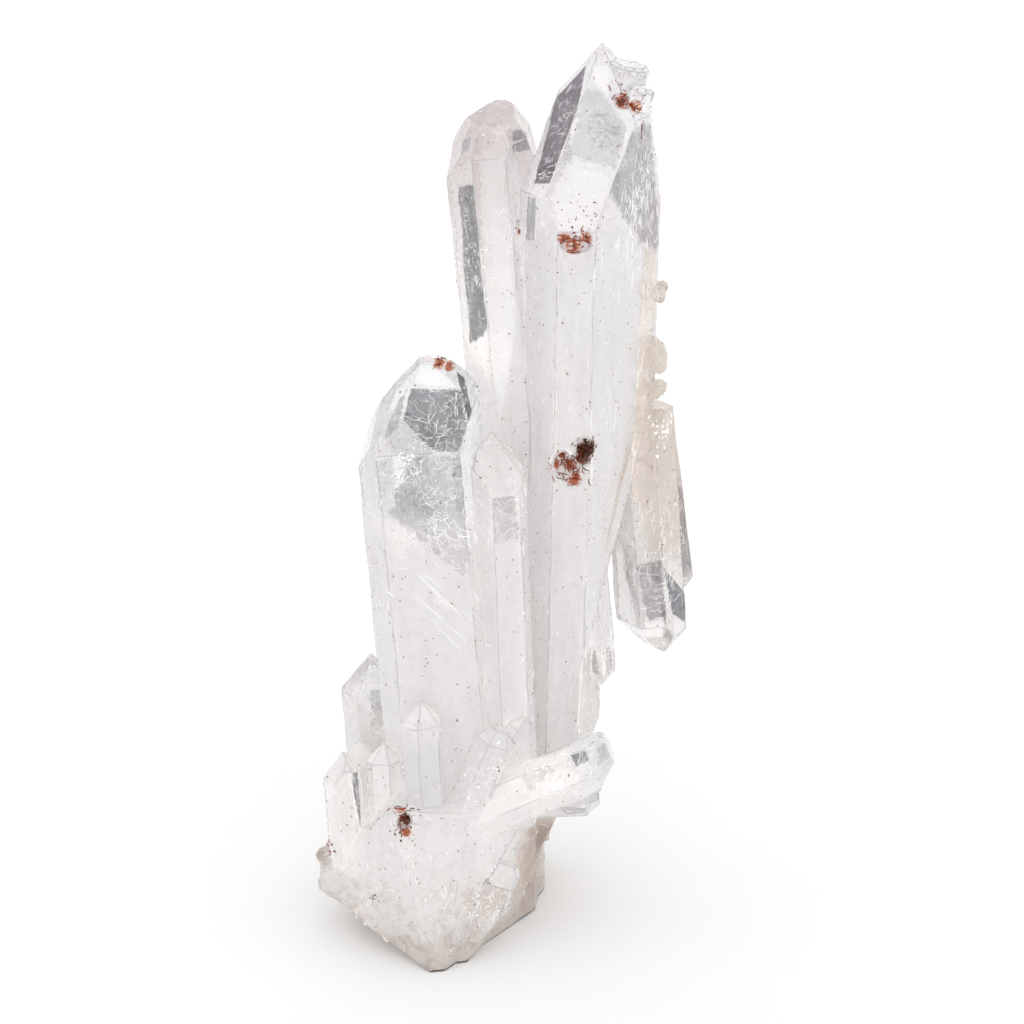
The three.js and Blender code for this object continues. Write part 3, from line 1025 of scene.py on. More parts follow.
def skin_material():
    """Clear quartz: glass with growth lines, etch pits, painted reflections in panes and rust spots."""
    material, tree, shader = new_material("clear_quartz_skin")
    point = in_millimetres(tree)
    # The base colour carries the painted reflections of the dark panes.
    clean = painted_reflection_colour(tree, layer_of(tree, "tone", "Color"))
    tree.links.new(rusted(tree, clean), shader.inputs["Base Color"])
    shader.inputs["IOR"].default_value = QUARTZ_IOR
    shader.inputs["Transmission Weight"].default_value = SKIN_CLEARNESS
    patches = noise(tree, point, scale=0.18, detail=4.0, roughness=0.65)
    frost = ramp(tree, patches, *FROST_PATCHES, LEAST_FROST, MOST_FROST)
    tree.links.new(frost, shader.inputs["Roughness"])
    lines = place_group(tree, GROWTH_LINES, Vector=layer_of(tree, "growth"))[0]
    pits = noise(tree, point, scale=1.4, detail=4.0, roughness=0.7)
    height = maths(tree, "ADD", lines, maths(tree, "MULTIPLY", pits, PIT_SHARE))
    bump = node_of(tree, "ShaderNodeBump", Strength=RELIEF, Distance=RELIEF_DEPTH)
    tree.links.new(height, bump.inputs["Height"])
    tree.links.new(bump.outputs[0], shader.inputs["Normal"])
    return material


def edge_material():
    """Worn edges: the same quartz, frosted by tiny chips, along some stretches
    pale and along others with painted grey shade."""
    material, tree, shader = new_material("worn_and_shaded_edge")
    along = noise(tree, in_millimetres(tree), scale=0.11, detail=1.0)
    # Painted shade: grey along some stretches of the edges.
    stretches = ramp(tree, along, *PAINTED_SHADE_STRETCHES)
    tone = mixed(tree, stretches, layer_of(tree, "tone", "Color"), PAINTED_EDGE_SHADE)
    tone = rusted(tree, tone)
    tree.links.new(tone, shader.inputs["Base Color"])
    shader.inputs["IOR"].default_value = QUARTZ_IOR
    shader.inputs["Transmission Weight"].default_value = EDGE_CLEARNESS
    shader.inputs["Roughness"].default_value = EDGE_FROST
    return material


print("recipes for the skin ready")

# %% [markdown]
# The skin is shaded smooth, but every edge over nine degrees stays sharp. It takes
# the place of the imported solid.

# %% The skin
CREASE = math.radians(9)
skin_mesh.materials.append(skin_material())
skin_mesh.materials.append(edge_material())
skin_mesh.polygons.foreach_set("use_smooth", np.ones(len(skin_mesh.polygons), bool))
skin_mesh.set_sharp_from_angle(angle=CREASE)
skin = shown(skin_mesh)
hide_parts("quartz_cluster")
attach(skin, "root")
print("skin dressed")

# %% [markdown]
# All the small details are rows of points and rows of point numbers. Copies of one
# shape use the same rows of numbers, each copy's raised by the points before it,
# so thousands of them are joined at once into one piece.

# %% Rows of points and faces
def mesh_piece(name, points_mm, faces, material, slot=True):
    """A finished piece from points in mm from the front foot and arrays of face
    rows."""
    mesh = bpy.data.meshes.new(name)
    rows = [row for some in faces for row in some.tolist()]
    mesh.from_pydata(placed(points_mm).tolist(), [], rows)
    mesh.materials.append(material)
    mesh.polygons.foreach_set("use_smooth", np.ones(len(rows), bool))
    piece = shown(mesh)
    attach(piece, "root")
    print(name + ":", len(rows), "faces")
    return piece


def write_milk(mesh, values):
    """Stores how thick the milk is at each point, 0 to 1."""
    layer = mesh.attributes.new("milk", "FLOAT", "POINT")
    layer.data.foreach_set("value", np.ascontiguousarray(values, np.float32))


def tube_faces(rings, around):
    """Rows of quads and rows of triangles, facing outwards, of a closed tube: a
    single point, the rings, and a single point again."""
    ring = np.arange(around)
    after = (ring + 1) % around
    first = 1 + np.arange(rings - 1)[:, None] * around
    last = 1 + (rings - 1) * around
    quads = np.stack([first + ring, first + after, first + around + after, first + around + ring], -1)
    low = np.stack([0 * ring, 1 + after, 1 + ring], -1)
    high = np.stack([0 * ring + last + around, last + ring, last + after], -1)
    return quads.reshape(-1, 4), np.concatenate([low, high])


def repeated(rows, count, size):
    """The face rows of count copies of a shape of size points: row + n x size."""
    steps = np.arange(count)[:, None, None] * size
    return (rows + steps).reshape(-1, rows.shape[1])


def joined(parts):
    """The points and the face rows of several parts as one part."""
    starts = np.cumsum([0] + [len(points) for points, _ in parts])
    faces = [rows + start for (_, some), start in zip(parts, starts) for rows in some]
    return np.vstack([points for points, _ in parts]), faces


print("rows ready")

# %% [markdown]
# Cracks that healed while the crystal grew are left inside it as lacy white veils.
# Each is a thin lens, a little bent, whose material leaves most of it open.

# %% Veil lenses
VEIL_RINGS, VEIL_AROUND = 7, 24
VEIL_THICKNESS = 0.06
LENS_TWIST = 0.3
LACE_WHITE = (0.97, 0.97, 0.98, 1)
LACE_ROUGHNESS = 0.8
LINE_COVER, PATCH_COVER = 0.8, 0.35

# Where each smooth step of the lace starts and ends.
LINE_WIDTH = (0.008, 0.03)
LACE_PATCHES = (0.5, 0.75)
LACE_FADE = (0.0, 0.5)


def lens(middle, facing, wide, long, bend, turn):
    """A closed lens: at the radius share r and angle a the point lies at
    wide r cos(a) and long r sin(a) across, and bend r ^ 2 +- thickness
    sqrt(1 - r ^ 2) along the facing direction. Returns points and r."""
    facing = unit(facing)
    first = unit(np.cross(facing, (math.cos(turn), math.sin(turn), LENS_TWIST)))
    second = np.cross(facing, first)
    r = np.sin(np.linspace(0, np.pi, VEIL_RINGS * 2 + 1)[1:-1])
    side = np.sign(np.linspace(-1, 1, len(r)))
    a = np.arange(VEIL_AROUND) * 2 * np.pi / VEIL_AROUND
    across = wide * r[:, None] * np.cos(a)
    along = long * r[:, None] * np.sin(a)
    out = (bend * r**2 + side * VEIL_THICKNESS * np.sqrt(1 - r**2))[:, None] + 0 * a
    rings = across[..., None] * first + along[..., None] * second + out[..., None] * facing
    poles = [-VEIL_THICKNESS * facing, VEIL_THICKNESS * facing]
    points = np.vstack([poles[0], rings.reshape(-1, 3), poles[1]]) + middle
    shares = np.concatenate([[0], np.repeat(r, VEIL_AROUND), [0]])
    return points, shares


def veil_material():
    """Lace: white where a winding noise passes its middle, open elsewhere."""
    material, tree, shader = new_material("veil_lace")
    shader.inputs["Base Color"].default_value = LACE_WHITE
    shader.inputs["Roughness"].default_value = LACE_ROUGHNESS
    point = in_millimetres(tree)
    winding = off_middle(tree, noise(tree, point, scale=1.3, detail=2.0, roughness=0.55, distortion=0.8))
    lines = ramp(tree, winding, *LINE_WIDTH, LINE_COVER, 0.0)
    patches = noise(tree, point, scale=0.5, detail=2.0)
    patches = ramp(tree, patches, *LACE_PATCHES, 0.0, PATCH_COVER)
    lace = maths(tree, "MAXIMUM", lines, patches)
    edge = ramp(tree, layer_of(tree, "milk", "Fac"), *LACE_FADE)
    tree.links.new(maths(tree, "MULTIPLY", lace, edge), shader.inputs["Alpha"])
    return material


lace = veil_material()
print("material:", lace.name)

# %% [markdown]
# The veils lie in the clear part of each crystal, near its axis and tilted from it
# at random. One that would come too near the skin is made smaller, and left out if
# that isn't enough.

# %% Healed veils
VEIL_ROOM = 0.3
VEIL_ASIDE = 0.35
VEIL_TILT = 0.5
VEIL_TURN = 3
VEIL_BEND = 0.8
LEAST_VEIL, MOST_VEIL = 0.5, 1.1
SMALLER_VEILS = (1, 0.8, 0.6, 0.45, 0.3)

# How many, the least and the most distance from the foot, and how large.
VEILS = {
    "tallest": (12, 98, 134, 4.6),
    "tall_left": (8, 76, 108, 3.2),
    "broad_front": (12, 56, 86, 3.8),
    "narrow_front": (4, 44, 60, 2.2),
    "hanging": (7, 14, 38, 2.8),
    "hanging_small": (3, 12, 28, 1.6),
    "hanging_least": (2, 16, 22, 1.2),
    "crossing": (5, 10, 24, 2.0),
    "left_back": (3, 14, 24, 1.9),
    "back_left": (3, 45, 66, 2.2),
    "back_right": (2, 30, 46, 2.0),
}


def room_inside(points):
    """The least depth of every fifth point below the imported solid's faces, in mm:
    distance to the nearest face, negative outside."""
    depths = []
    for point in placed(points[::5]):
        nearest, normal, _, distance = solid_tree.find_nearest(point)
        outwards = (Vector(point) - nearest).dot(normal) > 0
        depths.append(-distance / MM if outwards else distance / MM)
    return min(depths)


def healed_veils(material):
    """Lenses at random places between two distances along each crystal's axis,
    each made smaller until it keeps clear of the skin."""
    rng = np.random.default_rng(12)
    faces = tube_faces(VEIL_RINGS * 2 - 1, VEIL_AROUND)
    parts, thick = [], []
    for name, (number, start, stop, size) in VEILS.items():
        foot, head, reach = CRYSTALS[name][:3]
        front, right, along, _ = axes_of(foot, head)
        for _ in range(number):
            aside = rng.uniform(-VEIL_ASIDE, VEIL_ASIDE, 2) * reach
            middle = foot + along * rng.uniform(start, stop) + aside[0] * front + aside[1] * right
            facing = front + rng.normal(0, VEIL_TILT, 3)
            wide, long = rng.uniform(LEAST_VEIL, MOST_VEIL, 2) * size
            bend, turn = rng.uniform(-VEIL_BEND, VEIL_BEND), rng.uniform(0, VEIL_TURN)
            for smaller in SMALLER_VEILS:
                points, shares = lens(middle, facing, wide * smaller, long * smaller, bend, turn)
                if room_inside(points) > VEIL_ROOM:
                    parts.append((points, faces))
                    thick.append(1 - shares**2)
                    break
    piece = mesh_piece("healed_veils", *joined(parts), material)
    write_milk(piece.data, np.concatenate(thick))


healed_veils(lace)

# %% [markdown]
# In the bodies the quartz is clouded by tiny bubbles that reach almost to the
# faces. The milk is a second copy of the solid, moved inwards along its normals by
# a little under half a millimetre. Its material is white where the milk is thick
# and open where it is thin.

# %% Milk material
# A painted glow: emission that stands in for light scattered in the milk.
MILK_GLOW = 0.3
MILK_DRIFT = 0.9
DRIFT_STRETCH = (0.2, 0.2, 0.09)
STREAK_STRETCH = (0.55, 0.55, 0.07)
PANE_CLEARS = -1.6
MOST_STREAK = 0.22
MOST_BROWN = 0.8
# Painted shade: the glow falls to this share at the floor.
LEAST_LIT = 0.65
STREAK = (0.6, 0.58, 0.57, 1)
BLOTCH = (0.62, 0.53, 0.47, 1)
PURE_WHITE = (1, 1, 1, 1)
BLACK = (0, 0, 0, 1)

# Where each smooth step starts and ends. The two heights are in mm.
MILK_BORDER = (0.15, 0.75)
STREAK_BORDER = (0.85, 1.3)
BROWN_BORDER = (0.45, 0.65)
BROWN_HEIGHTS = (3.0, 19.0)
LIT_HEIGHTS = (0.0, 12.0)


def milk_material():
    """White bubbles: rough white with an alpha of the milk layer plus soft noise,
    faintly streaked along the growth and blotched with brown near the floor. The
    light that real milk scatters through itself is a faint painted glow, with
    painted shade towards the floor, where the glow is fainter. White panes, the
    painted highlights, are all milk and pure white. A dark pane has less, the
    deeper it is, so that its painted reflection shows."""
    material, tree, shader = new_material("milk")
    shader.inputs["Roughness"].default_value = 1.0
    shader.inputs["Specular IOR Level"].default_value = 0.0
    shader.inputs["Emission Strength"].default_value = MILK_GLOW
    point = in_millimetres(tree)
    drawn_out = stretched(tree, layer_of(tree, "growth"), STREAK_STRETCH)
    fine = noise(tree, point, scale=0.8, detail=4.0, roughness=0.65)
    mottled = maths(tree, "ADD", noise(tree, drawn_out, scale=1.0, detail=3.0, roughness=0.6), fine)
    streaks = ramp(tree, mottled, *STREAK_BORDER, 0.0, MOST_STREAK)
    tone = mixed(tree, streaks, layer_of(tree, "tone", "Color"), STREAK)
    parts = tree.nodes.new("ShaderNodeSeparateXYZ")
    tree.links.new(point, parts.inputs[0])
    low = ramp(tree, parts.outputs["Z"], *BROWN_HEIGHTS, MOST_BROWN, 0.0)
    blotches = noise(tree, point, scale=0.45, detail=4.0, roughness=0.7)
    blotches = maths(tree, "MULTIPLY", ramp(tree, blotches, *BROWN_BORDER), low)
    tone = mixed(tree, blotches, tone, BLOTCH)
    masks = pane_masks(tree)
    # Painted highlight: the milk is pure white in white panes.
    tone = mixed(tree, masks["White"], tone, PURE_WHITE)
    tree.links.new(tone, shader.inputs["Base Color"])
    # Painted glow, with painted shade towards the floor.
    lit = ramp(tree, parts.outputs["Z"], *LIT_HEIGHTS, LEAST_LIT, 1.0)
    tree.links.new(mixed(tree, lit, BLACK, tone), shader.inputs["Emission Color"])
    drift = noise(tree, stretched(tree, point, DRIFT_STRETCH), scale=1.0, detail=2.0, roughness=0.6)
    drift = swing(tree, drift, MILK_DRIFT)
    thick = ramp(tree, maths(tree, "ADD", layer_of(tree, "milk", "Fac"), drift), *MILK_BORDER)
    # Dark panes clear the milk so that their painted reflection shows.
    clear = maths(tree, "MULTIPLY_ADD", masks["Dark"], PANE_CLEARS, 1.0, clamp=True)
    thick = maths(tree, "MULTIPLY", maths(tree, "MAXIMUM", thick, masks["White"]), clear)
    tree.links.new(thick, shader.inputs["Alpha"])
    return material


milk = milk_material()
print("material:", milk.name)

# %% [markdown]
# How thick the milk is differs from crystal to crystal, and it thins out towards
# each point between two heights.

# %% Milk under the skin
MILK_DEPTH = 0.45
MILK_ABOVE_FLOOR = 0.1

# Thickness below the first height, the two heights, and thickness above.
MILK_TOPS = {
    "tallest": (1.0, 106, 124, 0.22),
    "tall_left": (1.0, 82, 100, 0.3),
    "broad_front": (1.0, 62, 78, 0.12),
    "narrow_front": (1.0, 60, 78, 0.45),
    "hanging": (0.65, 62, 52, 0.0),
    "hanging_small": (0.5, 70, 50, 0.2),
    "hanging_least": (0.6, 58, 46, 0.1),
    "root": (1.0, 106, 124, 0.2),
    "root_broad": (1.0, 106, 124, 0.2),
    "crossing": (0.8, 26, 34, 0.3),
    "crossing_low": (0.8, 26, 34, 0.5),
    "left_back": (0.9, 28, 42, 0.15),
    "shoulder": (0.3, 100, 120, 0.1),
    "shoulder_small": (0.3, 100, 120, 0.1),
}
MILK_ELSEWHERE = (1.0, 30, 46, 0.4)


def milk_density(points):
    """Thick below the first height and the last value above the second, smoothly
    in between. The heights are z in mm from the front foot."""
    owner = owner_of(points)
    density = np.empty(len(points))
    for index, name in enumerate(CRYSTALS):
        thick, low, high, thin = MILK_TOPS.get(name, MILK_ELSEWHERE)
        mine = owner == index
        share = np.clip((points[mine, 2] - low) / (high - low), 0, 1)
        share = share**2 * (3 - 2 * share)
        density[mine] = thick + (thin - thick) * share
    return density


def milk_under_skin(material):
    """Moves each point of the copy inwards by the depth times its normal."""
    mesh = split_copy("milk_under_skin", solid.data, worn=False)
    make_uneven(mesh)
    points = vertices_of(mesh) - normals_of(mesh) * MILK_DEPTH * MM
    points[:, 2] = np.maximum(points[:, 2], MILK_ABOVE_FLOOR * MM)
    mesh.vertices.foreach_set("co", points.ravel())
    mesh.update()
    mesh.materials.append(material)
    growth_layers(mesh)
    pane_layers(mesh)
    write_milk(mesh, milk_density((points - FRONT_FOOT) / MM))
    piece = shown(mesh)
    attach(piece, "root")


milk_under_skin(milk)

# %% [markdown]
# Everything small is sown over the skin: a face is drawn at random, larger faces
# more often, and the detail is put at that face or just over or under it. The
# bevel doesn't list its faces in the same order every time, so they are put in the
# order of their height, and the same numbers always draw the same places.

# %% Places on the skin
CLEAR_OF_FLOOR = 1.2
SOWN_SPREAD = 0.5
skin_corners, skin_centres, skin_normals = corner_arrays(skin_mesh)
first_sides = skin_corners[:, 1] - skin_corners[:, 0]
second_sides = skin_corners[:, 2] - skin_corners[:, 0]
skin_areas = np.linalg.norm(np.cross(first_sides, second_sides), axis=1)
skin_areas *= skin_centres[:, 2] > CLEAR_OF_FLOOR
in_order = np.lexsort(np.round(skin_centres, 3).T)
skin_centres = skin_centres[in_order]
skin_normals = skin_normals[in_order]
skin_areas = skin_areas[in_order]


def sown(rng, count, weights):
    """Places on faces drawn with the given weights, and the faces' normals."""
    chosen = rng.choice(len(weights), count, p=weights / weights.sum())
    spread = rng.uniform(-SOWN_SPREAD, SOWN_SPREAD, (count, 3))
    normals = skin_normals[chosen]
    spread -= (spread * normals).sum(1)[:, None] * normals
    return skin_centres[chosen] + spread, normals


def near(middle, reach):
    """Weights for the faces round a point: area x exp(-(distance / reach) ^ 2)."""
    distance = np.linalg.norm(skin_centres - np.array(middle, float), axis=1)
    return skin_areas * np.exp(-((distance / reach) ** 2))


def tangents(rng, normals, way=None, spread=0.0):
    """Two unit vectors across each normal. The first is random, or turned by up to
    the spread from the given way."""
    first = rng.normal(size=normals.shape)
    if way is not None:
        first = unit(way) + spread * first
    first -= (first * normals).sum(1)[:, None] * normals
    first = unit(first)
    return first, np.cross(normals, first)


print("skin area to sow on:", round(float(skin_areas.sum()) / 2), "square mm")

# %% [markdown]
# A grain is a ring of six points between two poles, squeezed to a flake or left
# round; a fibre is a thin bent spindle. Both are made for all of them at once.

# %% Grains and fibres
RING = 6
GRAIN_POINTS = RING + 2
SIDES, JOINTS = 3, 4
FIBRE_POINTS = JOINTS * SIDES + 2
BEND_MIDDLE = 0.4


def grains(rng, middles, normals, long, wide, thick):
    """Eight points a grain: middle + long cos(a) t + wide sin(a) b for six angles
    a, each a little uneven, and middle +- thick n. Returns points and faces."""
    first, second = tangents(rng, normals)
    count = len(middles)
    k = np.arange(RING)
    a = k * 2 * np.pi / RING
    uneven = rng.uniform(0.65, 1.2, (count, RING))
    ring = (long[:, None] * np.cos(a) * uneven)[..., None] * first[:, None]
    ring += (wide[:, None] * np.sin(a) * uneven)[..., None] * second[:, None]
    poles = np.stack([-thick[:, None] * normals, thick[:, None] * normals], axis=1)
    points = middles[:, None] + np.concatenate([ring, poles], axis=1)
    after = (k + 1) % RING
    low = np.stack([after, k, np.full(RING, RING)], -1)
    high = np.stack([k, after, np.full(RING, RING + 1)], -1)
    faces = [repeated(np.concatenate([low, high]), count, GRAIN_POINTS)]
    return points.reshape(-1, 3), faces


def fibres(middles, normals, first, second, length, thick, bend):
    """A bent spindle along s from -1 to 1: middle + length s t / 2 + bend
    (s ^ 2 - 0.4) b, three-sided, with the half thickness thick x sqrt(1 - s ^ 2)."""
    count = len(middles)
    s = np.linspace(-1, 1, JOINTS + 2)
    path = middles[:, None] + (length[:, None] * s / 2)[..., None] * first[:, None]
    path += (bend[:, None] * (s**2 - BEND_MIDDLE))[..., None] * second[:, None]
    a = np.arange(SIDES) * 2 * np.pi / SIDES
    rim = np.cos(a)[:, None] * normals[:, None] + np.sin(a)[:, None] * second[:, None]
    half = thick[:, None] * np.sqrt(1 - s[1:-1] ** 2)
    rings = path[:, 1:-1, None] + half[..., None, None] * rim[:, None]
    points = np.concatenate([path[:, :1], rings.reshape(count, -1, 3), path[:, -1:]], axis=1)
    faces = [repeated(rows, count, FIBRE_POINTS) for rows in tube_faces(JOINTS, SIDES)]
    return points.reshape(-1, 3), faces


print("points in a grain and in a fibre:", GRAIN_POINTS, FIBRE_POINTS)

# %% [markdown]
# Iron came last. It sits as red-brown flakes in the etched pits, closest together
# in the middle of each, as bent threads round them, and as single dark grains all
# over. The places are those where the photograph shows rust.

# %% Places of the iron
# A place, how far from it, how many flakes, how dark, and how large.
PITS = {
    "belly_core": ((25.1, 23.0, 81.8), 1.1, 50, 0.8, 0.3),
    "belly_left": ((21.0, 22.7, 80.2), 1.3, 22, 0.0, 0.2),
    "belly_low": ((23.6, 22.4, 78.2), 1.6, 14, 0.0, 0.2),
    "under_cap": ((23.0, 22.4, 115.6), 1.7, 24, 0.2, 0.2),
    "on_cap": ((24.6, 24.0, 120.6), 1.8, 26, 0.1, 0.2),
    "broad_knob": ((-4.4, 12.4, 86.8), 1.2, 12, 0.3, 0.12),
    "shoulder": ((31.6, 36.6, 134.8), 1.4, 24, 0.1, 0.25),
    "shoulder_streak": ((33.4, 37.6, 130.6), 1.0, 10, -0.2, 0.16),
    "foot_star": ((-4.0, 5.5, 25.1), 0.8, 40, 0.7, 0.34),
    "foot_star_low": ((-3.6, 4.4, 23.0), 1.2, 20, 0.2, 0.25),
    "tall_left_edge": ((14.2, 28.7, 117.0), 0.4, 9, 0.3, 0.25),
    "foot_left": ((-9.5, 6.9, 10.0), 0.8, 14, 0.0, 0.25),
    "left_side_face": ((-17.6, 12.9, 16.5), 1.2, 40, 0.0, 0.3),
}

# A place, how far from it, how many threads, the least and the most length, and
# how dark. The rays lie along the line from the place, the strings any way.
STRINGS = {
    "belly_core": ((25.0, 23.0, 81.7), 1.0, 60, 0.5, 1.6, 0.8),
    "belly_core_low": ((24.0, 22.9, 80.2), 0.9, 34, 0.6, 1.8, 0.2),
    "belly_lace": ((22.6, 22.8, 79.3), 1.6, 34, 0.6, 2.4, -0.35),
    "belly_low": ((23.0, 22.2, 77.7), 1.2, 16, 0.6, 1.8, -0.2),
    "belly_left": ((20.8, 22.7, 80.3), 1.1, 12, 0.4, 1.4, -0.2),
    "under_cap": ((22.9, 22.4, 115.8), 1.3, 24, 0.5, 1.6, -0.4),
    "under_cap_left": ((21.3, 21.8, 116.7), 0.8, 10, 0.5, 1.4, -0.3),
    "under_cap_right": ((24.8, 21.8, 116.7), 0.8, 10, 0.5, 1.4, -0.3),
    "shoulder": ((30.6, 37.0, 134.9), 1.2, 20, 0.5, 1.6, -0.5),
    "shoulder_right": ((32.8, 36.3, 134.2), 0.8, 12, 0.4, 1.2, -0.2),
    "shoulder_streak": ((33.0, 36.9, 131.0), 0.8, 5, 0.6, 1.6, -0.4),
    "broad_tip": ((2.0, 20.0, 97.0), 0.8, 12, 0.5, 1.2, 0.1),
}
RAYS = {
    "foot_star": ((-4.0, 5.4, 25.0), 1.5, 30, 0.5, 1.5, 0.0),
    "foot_star_up": ((-4.5, 5.1, 26.6), 1.0, 10, 0.4, 1.2, -0.2),
}
print("rusty places:", len(PITS) + len(STRINGS) + len(RAYS))

# %% [markdown]
# Rust is earthy and never one tone: every flake has its own, between red-brown and
# nearly black, and keeps it at its points.

# %% Iron material
RUST = np.array([0.32, 0.045, 0.014])
DARK_RUST = np.array([0.035, 0.006, 0.003])
LIGHT_RUST = (0.4, 0.13, 0.07, 1)
RUST_ROUGHNESS = 0.85
RUST_SHINE = 0.1
MOTTLES = (0.4, 0.8)
MOST_MOTTLE = 0.5


def iron_material():
    """Earthy rust: each flake's own tone, mottled, without shine."""
    material, tree, shader = new_material("iron_rust")
    mottle = noise(tree, in_millimetres(tree), scale=2.0, detail=3.0)
    mottle = ramp(tree, mottle, *MOTTLES, 0.0, MOST_MOTTLE)
    tone = layer_of(tree, "tone", "Color")
    tree.links.new(mixed(tree, mottle, tone, LIGHT_RUST), shader.inputs["Base Color"])
    shader.inputs["Roughness"].default_value = RUST_ROUGHNESS
    shader.inputs["Specular IOR Level"].default_value = RUST_SHINE
    return material


iron = iron_material()
print("material:", iron.name)

# %% [markdown]
# Flakes and threads are one piece, the single grains another.

# %% Iron stains
TONE_SPREAD = 0.8
RAY_SPREAD = 0.1
THREAD_BEND = 0.35
THREAD_RISE = 0.04
LEAST_THREAD, MOST_THREAD = 0.04, 0.13
LEAST_RISE, MOST_RISE = 0.05, 0.15
LEAST_SPECK, MOST_SPECK = 0.05, 0.15
SPECKS = 3000


def tinted_piece(name, points, faces, tones, material):
    """A piece whose points each keep a colour in the layer tone."""
    piece = mesh_piece(name, points, faces, material, slot=False)
    layer = piece.data.attributes.new("tone", "FLOAT_COLOR", "POINT")
    rows = np.hstack([tones, np.ones((len(tones), 1))]).astype(np.float32)
    layer.data.foreach_set("color", rows.ravel())


def rust_tones(shares, size):
    """Colours from rust at share 0 to dark rust at 1, each for size points."""
    tones = RUST + (DARK_RUST - RUST) * np.clip(shares, 0, 1)[:, None]
    return np.repeat(tones, size, axis=0)


def iron_flakes(rng):
    """Flakes in every pit. Yields (points, faces) and the points' tones."""
    for middle, reach, number, dark, flake in PITS.values():
        middles, normals = sown(rng, number, near(middle, reach))
        size = flake * rng.uniform(0.3, 1.2, number)
        middles = middles + rng.uniform(LEAST_RISE, MOST_RISE, (number, 1)) * normals
        part = grains(rng, middles, normals, size, size * 0.6, size * 0.25)
        yield part, rust_tones(rng.uniform(0, TONE_SPREAD, number) + dark, GRAIN_POINTS)


def iron_threads(rng, table, outwards):
    """Bent threads of rust on the skin round each place, lying any way or along
    the line from the place. Yields (points, faces) and the points' tones."""
    for middle, reach, number, least, most, dark in table.values():
        middles, normals = sown(rng, number, near(middle, reach))
        way = middles - np.array(middle) if outwards else None
        first, second = tangents(rng, normals, way, RAY_SPREAD)
        length = rng.uniform(least, most, number)
        thick = rng.uniform(LEAST_THREAD, MOST_THREAD, number)
        bend = length * rng.uniform(-THREAD_BEND, THREAD_BEND, number)
        middles = middles + THREAD_RISE * normals
        part = fibres(middles, normals, first, second, length, thick, bend)
        yield part, rust_tones(rng.uniform(0, TONE_SPREAD, number) + dark, FIBRE_POINTS)


def iron_stains(material):
    """All flakes, strings and rays as one piece."""
    rng = np.random.default_rng(5)
    made = [*iron_flakes(rng), *iron_threads(rng, STRINGS, False), *iron_threads(rng, RAYS, True)]
    points, faces = joined([part for part, _ in made])
    tinted_piece("iron_stains", points, faces, np.vstack([tones for _, tones in made]), material)


def iron_specks(material):
    """Single grains all over, half sunk in the skin."""
    rng = np.random.default_rng(6)
    middles, normals = sown(rng, SPECKS, skin_areas)
    size = rng.uniform(LEAST_SPECK, MOST_SPECK, SPECKS)
    points, faces = grains(rng, middles, normals, size, size, size * 0.7)
    tones = rust_tones(rng.uniform(0.4, 1, SPECKS), GRAIN_POINTS)
    tinted_piece("iron_specks", points, faces, tones, material)


iron_stains(iron)
iron_specks(iron)

# %% [markdown]
# White needles, hair-thin and bent, lie in the clear faces, with small bright
# chips where the surface has been knocked. Both are bright white, with a faint
# painted glow.

# %% White inclusions
# A painted glow that lifts the inclusions inside the glass.
WHITE_GLOW = 0.2
WHITE_ROUGHNESS = 0.6
BRIGHT_WHITE = (0.98, 0.98, 0.98, 1)


def white_material():
    """Bright white inclusions, rough and without tint, with a faint painted glow."""
    material, _, shader = new_material("white_inclusion")
    shader.inputs["Base Color"].default_value = BRIGHT_WHITE
    shader.inputs["Roughness"].default_value = WHITE_ROUGHNESS
    shader.inputs["Emission Color"].default_value = PURE_WHITE
    shader.inputs["Emission Strength"].default_value = WHITE_GLOW
    return material


white = white_material()
print("material:", white.name)

# %% [markdown]
# The needles lie in swarms. In some they go any way; in others they lie along one
# way, like combed hair, and are straighter.

# %% Needles
THINNEST, THICKEST = 0.022, 0.1
COMBED_BEND, LOOSE_BEND = 0.08, 0.3

